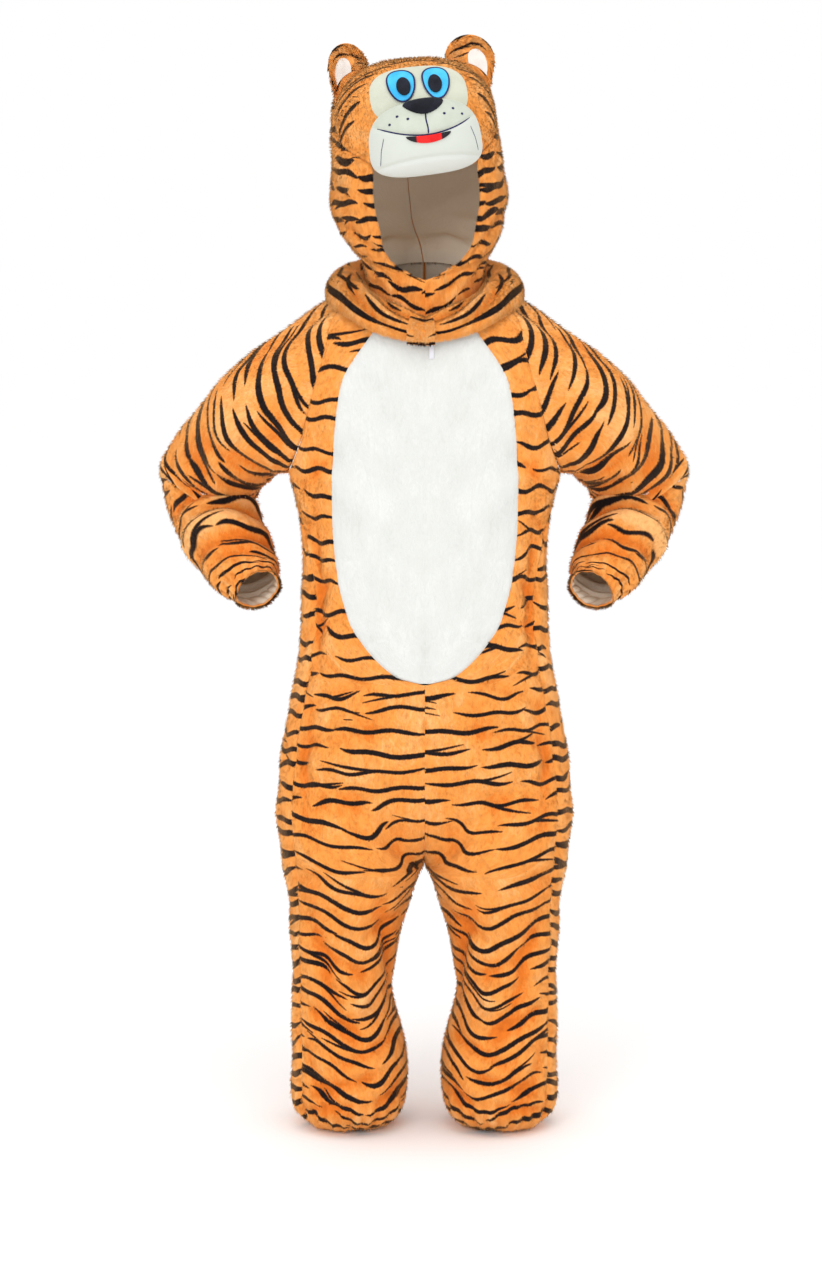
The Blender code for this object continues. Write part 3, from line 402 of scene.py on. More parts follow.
def body_point(row, turn):
    """A point of the suit's outer face, on the wearer's left half."""
    row, turn = np.broadcast_arrays(np.asarray(row, float), np.asarray(turn, float))
    inside = np.clip(turn, 0.006, 0.994)
    outward = normals_of(body_form, np.clip(row, 0.06, BODY.last - 0.06), inside)
    sunk = line_folds(BODY_FOLDS, BODY("height", row), turn, HALF_TURN_LENGTH)
    keep = smoothstep(0.0, 0.05, turn) * smoothstep(0.0, 0.05, 1 - turn)
    point = body_form(row, turn) - outward * (sunk * keep)[..., None]
    at_centre = (row <= CROTCH) & ((turn <= 0) | (turn >= 1))
    point[..., 0] = np.where(at_centre, 0, np.maximum(point[..., 0], 0))
    return point


def belly_turn(row):
    """Where the cream belly ends at each row, as a share of the half turn."""
    height = BODY("height", row)
    half = BELLY("half_width", BELLY.row_at("height", height))
    share = np.clip(half / BODY("half_width", row), 0, 1) ** (BODY("square", row) / 2)
    return np.where(np.asarray(row) > BELLY_END + 0.5, 0, np.arcsin(share) / math.pi)


def armhole_point(turn):
    """The raglan seam, from the underarm up the front, across the neck edge and down the back."""
    turn = np.asarray(turn, float)
    front_row = UNDERARM * np.clip(1 - turn / 0.4, 0, 1)
    back_row = UNDERARM * np.clip((turn - 0.6) / 0.4, 0, 1)
    row = np.where(turn < 0.4, front_row, np.where(turn > 0.6, back_row, 0))
    across = np.clip((turn - 0.4) / 0.2, 0, 1)
    over_neck = BODY("front_edge", 0) * (1 - across) + BODY("back_edge", 0) * across
    body_turn = np.where(
        turn < 0.4, BODY("front_edge", row), np.where(turn > 0.6, BODY("back_edge", row), over_neck)
    )
    return body_point(row, body_turn)


def bent(start, near, far, end, s):
    """A point on the curve from start to end that leaves toward near and arrives from far."""
    return start * (1 - s) ** 3 + 3 * near * s * (1 - s) ** 2 + 3 * far * s**2 * (1 - s) + end * s**3


def sleeve_middle(section):
    return stacked(
        (SLEEVE("over_x", section) + SLEEVE("under_x", section)) / 2,
        SLEEVE("depth", section),
        (SLEEVE("over_z", section) + SLEEVE("under_z", section)) / 2,
    )


def sleeve_ring(section, turn):
    """A point of a ring round the arm, past the raglan. turn 0 is its inner side, 0.25 front, 0.5 outer."""
    angle = 2 * math.pi * np.asarray(turn, float)
    half = stacked(
        (SLEEVE("over_x", section) - SLEEVE("under_x", section)) / 2,
        0.0,
        (SLEEVE("over_z", section) - SLEEVE("under_z", section)) / 2,
    )
    along = unit(sleeve_middle(section + 0.5) - sleeve_middle(section - 0.5))
    forward = unit(np.cross(along, unit(half))) * SLEEVE("thick", section)[..., None]
    return sleeve_middle(section) - half * np.cos(angle)[..., None] + forward * np.sin(angle)[..., None]


def sleeve_form(row, turn):
    """The sleeve's smooth form. Rows 0 to RAGLAN_ROWS run from the raglan seam to the first arm ring."""
    row, turn = np.broadcast_arrays(np.asarray(row, float), np.asarray(turn, float) % 1.0)
    start, end = armhole_point(turn), sleeve_ring(np.zeros(turn.shape), turn)
    reach = np.linalg.norm(end - start, axis=-1, keepdims=True)
    rise = 0.04 * np.maximum(-np.cos(2 * math.pi * turn), 0)
    push = 0.55 * np.maximum(np.cos(2 * math.pi * turn), 0)
    leave = unit(unit(end - start) + stacked(push, 0.0, rise))
    arrive = unit(sleeve_middle(0.5) - sleeve_middle(0.0))
    near, far = start + leave * reach / 3, end - arrive * reach / 3
    s = np.clip(row / RAGLAN_ROWS, 0, 1)[..., None]
    raglan = bent(start, near, far, end, s)
    arm = sleeve_ring(np.maximum(row - RAGLAN_ROWS, 0), turn)
    return np.where((row < RAGLAN_ROWS)[..., None], raglan, arm)


def hood_point(row, turn):
    """A point of the hood before it is turned with the head. A turn below 0 is on the wearer's right."""
    return ring_point(HOOD, row, turn)


def head_pose(points):
    """Turns the hood with the head. The neck end stays put, and the turn grows over the jaw."""
    share = smoothstep(*JAW, points[..., 2])
    yaw, roll = HEAD_YAW * share, HEAD_ROLL * share
    p = points - HEAD_PIVOT
    x = p[..., 0] * np.cos(yaw) - p[..., 1] * np.sin(yaw)
    y = p[..., 0] * np.sin(yaw) + p[..., 1] * np.cos(yaw)
    z = p[..., 2]
    return stacked(x * np.cos(roll) - z * np.sin(roll), y, x * np.sin(roll) + z * np.cos(roll)) + HEAD_PIVOT


def collar_point(row, turn):
    """A point of the collar's outer face. row 0 is its root on the hood, 1 its hem; turn as on the hood."""
    turn = np.asarray(turn, float)
    station = np.abs(turn) * COLLAR.last
    root = ring_point(BODY, np.zeros(turn.shape), turn)
    middle = stacked(0.0, 0.0, root[..., 2])
    root = middle + (root - middle) * 1.005 + stacked(0.0, 0.0, 3.2 * MM)
    side = np.where(turn < 0, -1.0, 1.0)
    hem = stacked(COLLAR("hem_x", station) * side, COLLAR("hem_y", station), COLLAR("hem_z", station))
    outward = unit(stacked(hem[..., 0], hem[..., 1], 0.0))
    near = root + outward * (16 * MM) + stacked(0.0, 0.0, COLLAR("root_up", station))
    far = hem + outward * (5 * MM) + stacked(0.0, 0.0, COLLAR("hem_up", station))
    return bent(root, near, far, hem, np.asarray(row, float)[..., None])


def dome_point(x, z):
    """The point of the hood's forehead that shows at this place from the front, before the head's turn."""
    row = HOOD.row_at("height", z)
    n = HOOD("square", row)
    across = np.clip(np.abs(x) / HOOD("half_width", row), 0, 0.999)
    return stacked(x, -HOOD("front", row) * (1 - across**n) ** (1 / n), z)


def dome_normal(x, z):
    step = 0.5 * MM
    across = dome_point(x + step, z) - dome_point(x - step, z)
    up = dome_point(x, z + step) - dome_point(x, z - step)
    return unit(np.cross(across, up))


def face_normals(grid):
    """The summed normals of the faces round each point of a grid, pointing the way of its rows by columns."""
    down, across = grid[1:, :-1] - grid[:-1, :-1], grid[:-1, 1:] - grid[:-1, :-1]
    down_far, across_far = grid[1:, 1:] - grid[:-1, 1:], grid[1:, 1:] - grid[1:, :-1]
    cell = np.cross(down, across) + np.cross(down_far, across_far)
    total = np.zeros(grid.shape)
    for i in (0, 1):
        for j in (0, 1):
            total[i : i + cell.shape[0], j : j + cell.shape[1]] += cell
    return total


def outline(shape, angles):
    """The outline of a piece of the face, as x and z about its middle."""
    _, _, half_x, up, down, spread, roundness = shape
    x = power(np.cos(angles), roundness) * (half_x - spread * np.sin(angles))
    return x, np.where(np.sin(angles) > 0, up, down) * power(np.sin(angles), roundness)


def askew(x, z, roll):
    """A place on the face turned about the middle of the forehead's lower half."""
    z = z - FACE_PIVOT_Z
    return x * math.cos(roll) - z * math.sin(roll), x * math.sin(roll) + z * math.cos(roll) + FACE_PIVOT_Z


def muzzle_base_top(x):
    """The top of the muzzle's footprint on the forehead."""
    across = np.clip(np.abs(x) / MUZZLE_BASE[2], 0, 1)
    return MUZZLE_BASE[1] + MUZZLE_BASE[3] * (1 - across ** (2 / MUZZLE_BASE[6])) ** (MUZZLE_BASE[6] / 2)


def muzzle_depth(x, z):
    """How far forward the muzzle's face lies at each place inside its outline."""
    angles = np.linspace(0, 2 * math.pi, 721)
    ox, oz = outline(MUZZLE, angles)
    held = np.unwrap(np.arctan2(oz, ox))
    dx, dz = x - MUZZLE[0], z - MUZZLE[1]
    full = np.interp(np.arctan2(dz, dx) % (2 * math.pi), held, np.hypot(ox, oz))
    reach = np.clip(np.hypot(dx, dz) / full, 0, 1)
    bx = dx * MUZZLE_BASE[2] / MUZZLE[2]
    bz = np.where(dz > 0, dz * MUZZLE_BASE[3] / MUZZLE[3], dz * MUZZLE_BASE[4] / MUZZLE[4])
    held_y = dome_point(*askew(MUZZLE_BASE[0] + bx, MUZZLE_BASE[1] + bz, MUZZLE_ROLL))[..., 1]
    rise = MUZZLE_RIM_SHARE + (1 - MUZZLE_RIM_SHARE) * np.sqrt(1 - reach**2.6)
    return held_y - MUZZLE_HEIGHT * rise


def muzzle_point(x, z):
    turned_x, turned_z = askew(x, z, MUZZLE_ROLL)
    return stacked(turned_x, muzzle_depth(x, z), turned_z)


def muzzle_face(x, z, off):
    """A point off the muzzle's face by this much."""
    step = 0.6 * MM
    across = muzzle_point(x + step, z) - muzzle_point(x - step, z)
    up = muzzle_point(x, z + step) - muzzle_point(x, z - step)
    return muzzle_point(x, z) + unit(np.cross(across, up)) * np.asarray(off)[..., None]


def dome_face(x, z, off):
    """A point off the forehead by this much."""
    turned_x, turned_z = askew(x, z, BROW_ROLL)
    return dome_point(turned_x, turned_z) + dome_normal(turned_x, turned_z) * np.asarray(off)[..., None]


def ear_grid(side, across, up, forward):
    """A point of an ear: across runs from its outer to its inner foot, and up from its foot to its rim."""
    foot_z = EAR_FOOT_OUTER + (EAR_FOOT_INNER - EAR_FOOT_OUTER) * across
    row = HOOD.row_at("height", foot_z)
    out = unit(stacked(0.5 + 0.5 * (1 - across), 0.0, 0.35 + 0.65 * across))
    foot = stacked(HOOD("half_width", row), 0.0, foot_z) + out * EAR_CLEARANCE
    turn = EAR_FROM + (EAR_TO - EAR_FROM) * across
    yaw = EAR_YAW_LEFT if side > 0 else EAR_YAW_RIGHT
    reach = EAR_RADIUS * np.cos(turn)
    rim = stacked(EAR_X + reach * math.cos(yaw), -reach * math.sin(yaw), EAR_Z + EAR_RADIUS * np.sin(turn))
    up = np.asarray(up)[..., None]
    point = foot * (1 - up) + rim * up
    cup = EAR_CUP * 4 * across * (1 - across) * up[..., 0]
    point[..., 1] += EAR_Y + EAR_LEAN * (point[..., 2] - EAR_Z) + cup - forward
    return point * np.array([side, 1.0, 1.0])


# Smaller creases, listed one by one: from one height and turn to another. A depth below 0 is a ridge.
BODY_CREASES = Sections(
    "at_a ~turn_a at_b ~turn_b depth width",
    [
        (-150, 0.10, -196, 0.36, 2.0, 8),
        (-172, 0.17, -206, 0.40, 1.5, 6),
        (-96, 0.05, -78, 0.17, 1.5, 8),
        (-224, 0.30, -262, 0.44, 3.0, 7),
        (-292, 0.24, -330, 0.37, 3.0, 7),
        (-342, 0.22, -362, 0.40, 3.5, 8),
        (-376, 0.28, -392, 0.42, -2.0, 7),
        (-408, 0.13, -442, 0.34, 3.0, 9),
        (-452, 0.04, -478, 0.21, 2.5, 9),
        (-470, 0.26, -512, 0.40, 3.0, 10),
        (-522, 0.08, -560, 0.27, 2.5, 11),
        (-556, 0.03, -604, 0.12, 2.5, 8),
        (-566, 0.22, -608, 0.06, 2.5, 9),
        (-612, 0.30, -640, 0.42, 3.0, 10),
        (-668, 0.06, -702, 0.24, 3.0, 9),
        (-700, 0.34, -742, 0.16, 3.0, 9),
        (-742, 0.10, -790, 0.30, -2.5, 9),
        (-772, 0.38, -806, 0.20, 3.5, 8),
        (-806, 0.06, -838, 0.27, 3.5, 8),
        (-846, 0.12, -872, 0.38, 3.5, 8),
        (-866, 0.02, -884, 0.20, 3.0, 7),
        (-882, 0.22, -900, 0.42, 3.0, 7),
        (-138, 0.82, -192, 0.62, 3.0, 9),
        (-176, 0.94, -214, 0.74, 2.0, 10),
        (-232, 0.93, -286, 0.70, 3.0, 11),
        (-300, 0.70, -322, 0.95, 3.0, 9),
        (-352, 0.58, -398, 0.88, 4.0, 10),
        (-412, 0.92, -462, 0.64, 3.0, 11),
        (-548, 0.64, -606, 0.93, 3.5, 11),
        (-630, 0.96, -688, 0.60, 3.0, 11),
        (-716, 0.60, -758, 0.90, 3.5, 9),
        (-764, 0.94, -818, 0.68, 3.0, 9),
        (-836, 0.54, -866, 0.84, 3.5, 8),
        (-878, 0.90, -898, 0.62, 3.0, 7),
    ],
)
SLEEVE_CREASES = Sections(
    "at_a ~turn_a at_b ~turn_b depth width",
    [
        (26, 0.10, 92, 0.20, 3.0, 10),
        (54, 0.36, 120, 0.44, 3.0, 13),
        (96, 0.04, 148, 0.24, 4.0, 9),
        (128, 0.02, 168, 0.34, 4.0, 8),
        (162, 0.06, 186, 0.40, 4.5, 8),
        (186, 0.02, 214, 0.34, 4.5, 8),
        (206, 0.44, 226, 0.20, 2.5, 10),
        (228, 0.00, 252, 0.40, 3.0, 10),
        (276, 0.04, 262, 0.36, 4.0, 9),
        (292, 0.22, 284, 0.52, 6.0, 9),
        (296, 0.06, 306, 0.24, -4.5, 8),
        (318, 0.02, 306, 0.36, 6.5, 8),
        (330, 0.28, 324, 0.54, -4.5, 8),
        (346, 0.00, 352, 0.34, 6.0, 8),
        (352, 0.30, 340, 0.54, 6.0, 8),
        (374, 0.08, 366, 0.46, 4.5, 7),
        (60, 0.62, 126, 0.72, 3.5, 10),
        (140, 0.94, 180, 0.66, 4.5, 8),
        (196, 0.98, 222, 0.64, 5.0, 8),
        (250, 0.60, 262, 0.98, 4.0, 9),
        (276, 0.92, 290, 0.66, -4.0, 9),
        (302, 0.62, 316, 0.96, 6.0, 8),
        (330, 0.94, 334, 0.66, -4.0, 8),
        (348, 0.58, 350, 0.92, 6.0, 8),
        (376, 0.56, 370, 0.94, 4.0, 7),
    ],
)
CUFF_PLEATS = 15
HEM_PLEATS = 24
SMOOTH_UP_TO = math.radians(55)  # faces that meet at less than this are shaded as one
FULL_FOLD = 6 * MM  # a fold this deep or high gets the full painted shade in its trough and the full painted highlight on its ridge

# The suit is cut from one plush, printed with broken stripes. For each kind of piece: the seed of its draws,
# where its rows of strokes start and stop along it and how long they are, shortest and longest, in metres,
# and their thinnest and thickest half width, in millimetres.
STRIPES = {
    "front": (21, 0.030, 0.912, 0.062, 0.130, 1.8, 2.8),
    "back": (34, 0.000, 0.912, 0.070, 0.140, 2.4, 3.4),
    "sleeve": (47, -0.215, 0.290, 0.060, 0.125, 2.4, 3.6),
    "hood": (52, 0.000, 0.312, 0.034, 0.085, 2.7, 4.3),
    "dome": (65, 0.285, 0.318, 0.035, 0.060, 1.3, 2.2),
    "collar": (73, 0.008, 0.040, 0.045, 0.090, 2.0, 3.2),
    "ear": (88, 0.012, 0.070, 0.016, 0.034, 1.8, 3.0),
}
FORKED = 0.5  # share of the strokes that fork
PRINT_REACH = 6.5 * MM  # how far past a stroke its place in the print is still kept
NO_PRINT = -20 * MM  # a half width that leaves a point bare
PRINT_LAYERS = ("print_a", "print_b", "print_c", "print_d", "print_e", "print_f")
LAYER_ROOM = 18 * MM  # how far apart strokes of one layer lie, where they can
STROKE_SEARCH = 12 * MM  # how far round a stroke points are set against it
STROKE_TAPER = 17 * MM  # over this length a stroke thins out to its end
STROKE_WAVE = 50 * MM


def soft_waves(seed, at, across, shortest, longest, high):
    """Slight undulation of hanging cloth."""
    draw = np.random.default_rng(seed)
    total = 0.0
    for _ in range(7):
        way, length = draw.uniform(0, math.pi), draw.uniform(shortest, longest)
        phase = draw.uniform(0, 2 * math.pi)
        total = total + np.sin(2 * math.pi * (at * math.cos(way) + across * math.sin(way)) / length + phase)
    return total * high / 3.0


def tapered(half, long, t):
    """A stroke's half width along it: it swells a little in its middle and thins out to both ends."""
    taper = np.clip(np.minimum(t, 1 - t) * long / STROKE_TAPER, 0.0, 1.0) ** 0.7
    return half * MM * (0.16 + 0.84 * taper)


def stroke_rows(kind, side, spacing, left, right, drawn_down, drawn_wide=lambda at: 1.0):
    """Broken, forked strokes in rows: each is a line of places (along, across) and its half width there."""
    seed, start, stop, shortest, longest, thin, thick = STRIPES[kind]
    draw = np.random.default_rng(seed + 7 * side)
    t = np.linspace(0, 1, 17)
    strokes, at = [], start
    while at < stop:
        step, wide = spacing(at), drawn_wide(at)
        across = left(at) - draw.uniform(0.0, 0.06)
        while across < right(at):
            long, half = draw.uniform(shortest, longest), draw.uniform(thin, thick)
            tilt, bow = draw.uniform(-0.34, 0.34) * step, draw.uniform(-0.30, 0.30) * step
            wave = 0.09 * step * np.sin(2 * math.pi * (t * long / STROKE_WAVE + draw.uniform()))
            u = at + tilt * (t - 0.5) + bow * np.sin(math.pi * t) + wave
            v = across + long * wide * t
            line = np.stack([u + drawn_down(u, v), v], 1)
            strokes.append((line, tapered(half, long, t)))
            if draw.random() < FORKED:
                fork, way = draw.uniform(0.15, 0.6), draw.choice([-1.0, 1.0])
                run = draw.uniform(0.35, 0.55) * long
                fork_u = np.interp(fork, t, u) + way * step * draw.uniform(0.40, 0.55) * t**1.15
                fork_v = across + wide * (long * fork + run * t * draw.choice([1.0, 1.0, -1.0]))
                line = np.stack([fork_u + drawn_down(fork_u, fork_v), fork_v], 1)
                strokes.append((line, tapered(half * 0.86, run, t * 0.5 + 0.5)))
            across += wide * (long + draw.uniform(-0.012, 0.016))
        at += step * draw.uniform(0.90, 1.10)
    return strokes


def own_strokes(table):
    """Strokes from a short table, which run from one place to another with a bow."""
    t = np.linspace(0, 1, 15)
    strokes = []
    for i in range(table.last + 1):
        u = table("at_a", i) + (table("at_b", i) - table("at_a", i)) * t
        u = u + table("bow", i) * np.sin(math.pi * t)
        v = table("across_a", i) + (table("across_b", i) - table("across_a", i)) * t
        long = float(np.hypot(u[-1] - u[0], v[-1] - v[0]))
        strokes.append((np.stack([u, v], 1), tapered(float(table("half", i)) / MM, long, t)))
    return strokes


def in_layers(strokes):
    """Parts strokes that lie close together into layers of print, so that they can cross without mixing."""
    held, placed = [[] for _ in PRINT_LAYERS], []
    for line, half in strokes:
        room = [
            min((np.linalg.norm(line[:, None] - other, axis=-1).min() for other in lines), default=1.0)
            for lines in held
        ]
        layer = next((i for i, free in enumerate(room) if free > LAYER_ROOM), int(np.argmax(room)))
        held[layer].append(line)
        placed.append((layer, line, half))
    return placed


def printed(along, across, strokes):
    """The print at each point, in layers: how far it lies off a stroke's line, and the half width there."""
    flat = np.stack([along.ravel(), across.ravel()], 1)
    layers = []
    for layer in range(len(PRINT_LAYERS)):
        best = np.full(len(flat), -PRINT_REACH)
        off, width = np.zeros(len(flat)), np.full(len(flat), NO_PRINT)
        for held, line, half in strokes:
            if held != layer:
                continue
            low, high = line.min(0) - STROKE_SEARCH, line.max(0) + STROKE_SEARCH
            near = np.flatnonzero(np.all((flat > low) & (flat < high), axis=1))
            if not len(near):
                continue
            run = line[1:] - line[:-1]
            length = np.linalg.norm(run, axis=1)
            way = run / length[:, None]
            spot = flat[near][:, None] - line[:-1]
            s = (spot * way).sum(-1)
            aside = spot[..., 0] * way[:, 1] - spot[..., 1] * way[:, 0]
            past = np.maximum(np.maximum(-s, s - length), 0)
            i = np.hypot(aside, past).argmin(1)
            pick = (np.arange(len(near)), i)
            s, aside, past = np.clip(s[pick], 0, length[i]), aside[pick], past[pick]
            here = half[i] + (half[i + 1] - half[i]) * s / length[i] - past
            depth = here - np.abs(aside)
            better = depth > best[near]
            spots = near[better]
            best[spots], off[spots], width[spots] = depth[better], aside[better], here[better]
        layers.append(np.stack([off, width], 1).reshape(*along.shape, 2))
    return np.stack(layers)


def fine_rows(form, last, turns, cell=CELL):
    """Row numbers that cut each section of a form into cells about this long."""
    held = form(np.arange(last + 1)[:, None], np.asarray(turns)[None])
    steps = np.linalg.norm(np.diff(held, axis=0), axis=-1).max(1)
    rows = [np.linspace(i, i + 1, max(1, round(step / cell)), endpoint=False) for i, step in enumerate(steps)]
    return np.concatenate([*rows, [last]])[:, None]


def cell_areas(grid):
    down, across = grid[1:, :-1] - grid[:-1, :-1], grid[:-1, 1:] - grid[:-1, :-1]
    return np.linalg.norm(np.cross(down, across), axis=-1)


def lengths_along(grid, axis):
    step = np.linalg.norm(np.diff(grid, axis=axis), axis=-1)
    start = np.zeros_like(np.take(step, [0], axis=axis))
    return np.concatenate([start, np.cumsum(step, axis=axis)], axis=axis)


def seam_dip(grid, edges, deep=1.7 * MM, wide=2.6 * MM):
    """How far the cloth draws in at its sewn edges."""
    dip = np.zeros(grid.shape[:2])
    for axis, name in ((0, "top"), (0, "low"), (1, "first"), (1, "last")):
        if name in edges:
            far = lengths_along(grid, axis)
            if name in ("low", "last"):
                far = np.take(far, [-1], axis=axis) - far
            dip = np.maximum(dip, deep * np.exp(-((far / wide) ** 2)))
    return dip


def select_only(made):
    for other in bpy.context.selected_objects:
        other.select_set(False)
    bpy.context.view_layer.objects.active = made
    made.select_set(True)


def add_mesh(name, points, faces, material):
    mesh = bpy.data.meshes.new(name)
    mesh.from_pydata(np.asarray(points).tolist(), [], [tuple(int(i) for i in face) for face in faces])
    mesh.materials.append(material)
    mesh.update()
    made = bpy.data.objects.new(name, mesh)
    bpy.context.scene.collection.objects.link(made)
    select_only(made)
    bpy.ops.object.shade_smooth_by_angle(angle=SMOOTH_UP_TO)
    made.select_set(False)
    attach(made, "root")
    return made


def give(made, name, values):
    """Stores a value or a vector at each point of a piece."""
    values = np.asarray(values, np.float32)
    if values.ndim == 1:
        made.data.attributes.new(name, "FLOAT", "POINT").data.foreach_set("value", values)
    else:
        made.data.attributes.new(name, "FLOAT_VECTOR", "POINT").data.foreach_set("vector", values.ravel())


def bare(count):
    """Layers of print with nothing in them."""
    return np.tile([0.0, NO_PRINT], (len(PRINT_LAYERS), count, 1))


def give_print(made, layers):
    for name, layer in zip(PRINT_LAYERS, layers):
        give(made, name, np.concatenate([layer, np.zeros((len(layer), 1))], 1))


def shell_faces(rows, columns):
    """Faces of a closed shell between two grids, the first one outside."""
    i, j = np.meshgrid(np.arange(rows - 1), np.arange(columns - 1), indexing="ij")
    a = (i * columns + j).ravel()
    b, c, d = a + columns, a + columns + 1, a + 1
    count = rows * columns
    faces = [np.stack([a, b, c, d], 1), np.stack([a, d, c, b], 1) + count]
    rim = np.concatenate(
        [
            np.arange(columns - 1),
            np.arange(rows - 1) * columns + columns - 1,
            (rows - 1) * columns + np.arange(columns - 1, 0, -1),
            np.arange(rows - 1, 0, -1) * columns,
        ]
    )
    follow = np.roll(rim, -1)
    faces.append(np.stack([rim, follow, follow + count, rim + count], 1))
    return np.concatenate(faces)


def cloth(
    name, node, outer, normal, layers, fold, material,
    thick=CLOTH, turned=False, hemmed=True,
):
    """A panel of cloth with its two faces, its rim, and what its finish reads, whose fold depth paints shade
    into creases and highlight onto ridges. turned swaps its faces' sides, and hemmed brings the plush a
    little way round to the inside."""
    inner = outer - normal * thick
    rows, columns = outer.shape[:2]
    faces = shell_faces(rows, columns)
    if turned:
        faces = faces[:, ::-1]
    made = add_mesh(name, np.concatenate([outer.reshape(-1, 3), inner.reshape(-1, 3)]), faces, material)
    along, across = lengths_along(outer, 0), lengths_along(outer, 1)
    count = rows * columns
    nap = np.stack([across.ravel(), along.ravel(), np.zeros(count)], 1)
    give(made, "nap", np.concatenate([nap, nap]))
    give_print(made, np.concatenate([layers.reshape(-1, count, 2), bare(count)], 1))
    # The fold depth, which the plush paints as shade in creases and highlight on ridges.
    give(made, "fold", np.concatenate([fold.ravel(), fold.ravel()]) / FULL_FOLD)
    backed = np.ones((rows, columns))
    if hemmed:
        backed[[0, -1]] = backed[:, [0, -1]] = 0
    give(made, "inside", np.concatenate([np.zeros(count), backed.ravel()]))
    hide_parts(node)
    return made


SIDES = (("left", 1.0), ("right", -1.0))

# The pile that stands off each piece: tufts on it, their length in millimetres and how far they lie over.
PILE = {
    "front": (12500, 4.2, 1.6),
    "back": (14000, 4.4, 1.6),
    "sleeve": (12500, 4.4, 1.5),
    "hood": (8000, 4.6, 1.4),
    "forehead": (6500, 4.2, 1.6),
    "collar": (7000, 4.2, 1.5),
    "ear": (1250, 4.2, 1.3),
    "ear_back": (1100, 4.2, 1.2),
    "tab": (700, 4.0, 1.4),
}


def between(grid, i, j, s, t):
    """Values of a grid at places inside its cells."""
    s, t = s.reshape(-1, *[1] * (grid.ndim - 2)), t.reshape(-1, *[1] * (grid.ndim - 2))
    near = grid[i, j] * (1 - t) + grid[i, j + 1] * t
    return near * (1 - s) + (grid[i + 1, j] * (1 - t) + grid[i + 1, j + 1] * t) * s


def pile(
    kind, name, outer, normal, layers, fold, material, mirror,
    upward=False, rims=(), parting=None, lighter=0.0,
):
    """Tufts of pile on a piece and over its rims, each a thin closed spike that lies along the nap."""
    count, long, lay = PILE[kind]
    draw = np.random.default_rng(len(kind) * 100 + (mirror > 0) + len(name))
    area = cell_areas(outer)
    if parting is not None:
        area = area * ~parting[:-1, :-1]
    share = area.ravel() / area.sum()
    cell = np.minimum(np.searchsorted(np.cumsum(share), draw.random(count)), share.size - 1)
    i, j = np.unravel_index(cell, area.shape)
    s, t = draw.random(count), draw.random(count)
    down = (outer[i + 1, j] - outer[i, j]) * (-1.0 if upward else 1.0)
    for rim, start, stop, extra in rims:
        k, free = draw.integers(start, stop, extra), draw.random(extra)
        last = np.full(extra, area.shape[0 if rim in ("top", "low") else 1] - 1)
        if rim in ("top", "low"):
            at_i, at_j, at_s, at_t = (last if rim == "low" else 0 * k), k, free * 0 + (rim == "low"), free
            way = outer[at_i + 1, at_j] - outer[at_i, at_j]
        else:
            at_i, at_j, at_s, at_t = k, (last if rim == "last" else 0 * k), free, free * 0 + (rim == "last")
            way = outer[at_i, at_j + 1] - outer[at_i, at_j]
        way = way * (1.0 if rim in ("low", "last") else -1.0)
        i, j, s, t = np.append(i, at_i), np.append(j, at_j), np.append(s, at_s), np.append(t, at_t)
        down = np.concatenate([unit(down), unit(way)])
    count = len(i)
    root, up = between(outer, i, j, s, t), unit(between(normal, i, j, s, t))
    down = unit(down - (down * up).sum(-1, keepdims=True) * up)
    aside = np.cross(up, down)
    lie = up + down * (lay * draw.uniform(0.7, 1.3, (count, 1))) + aside * draw.normal(0, 0.45, (count, 1))
    tip = root + unit(lie) * (long * MM * draw.uniform(0.7, 1.25, (count, 1)))
    wide = 0.68 * MM * draw.uniform(0.7, 1.2, (count, 1))
    ring = [
        root - up * 0.5 * MM + wide * (aside * math.cos(turn) + down * math.sin(turn))
        for turn in np.radians([90, 210, 330])
    ]
    points = np.stack([*ring, tip], 1)
    start = np.arange(count)[:, None] * 4
    past = [i + s, j + t]
    for axis, step in enumerate((outer[i + 1, j] - outer[i, j], outer[i, j + 1] - outer[i, j])):
        moved = past[axis] + ((tip - root) * step).sum(-1) / np.maximum((step**2).sum(-1), 1e-9)
        past[axis] = np.clip(moved, 0, outer.shape[axis] - 1.001)
    tip_cell = (*(p.astype(int) for p in past), *(p % 1 for p in past))
    faces = np.concatenate([start + np.array(face) for face in ((1, 0, 3), (2, 1, 3), (0, 2, 3), (0, 1, 2))])
    made = bpy.data.meshes.new(f"pile_{kind}_{name}".rstrip("_"))
    made.from_pydata(points.reshape(-1, 3).tolist(), [], faces.tolist())
    made.materials.append(material)
    made.polygons.foreach_set("use_smooth", np.ones(len(faces), bool))
    made.update()
    made.normals_split_custom_set_from_vertices(np.repeat(up, 4, axis=0).tolist())
    tufts = bpy.data.objects.new(made.name, made)
    bpy.context.scene.collection.objects.link(tufts)
    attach(tufts, "root")
    along, across = lengths_along(outer, 0), lengths_along(outer, 1)
    nap = np.stack([across, along, np.zeros(along.shape)], -1)
    give(tufts, "nap", np.repeat(between(nap, i, j, s, t), 4, axis=0))
    layers = layers.reshape(-1, *along.shape, 2)
    spots = [[between(layer, i, j, s, t)] * 3 + [between(layer, *tip_cell)] for layer in layers]
    give_print(tufts, [np.stack(spot, 1).reshape(-1, 2) for spot in spots])
    # The fold depth under each tuft, painted as shade in creases and highlight on ridges.
    give(tufts, "fold", np.repeat(between(fold, i, j, s, t), 4) / FULL_FOLD)
    give(tufts, "inside", np.zeros(4 * count))
    # Marks each tuft's tip, which the plush paints lighter as a painted highlight where light catches the
    # pile.
    give(tufts, "tip", np.tile([0.0, 0.0, 0.0, 1.0], count))
    give(tufts, "tint", np.repeat(draw.normal(lighter, 1, count), 4))


def whole(value, shape):
    return np.broadcast_to(value, shape).copy()


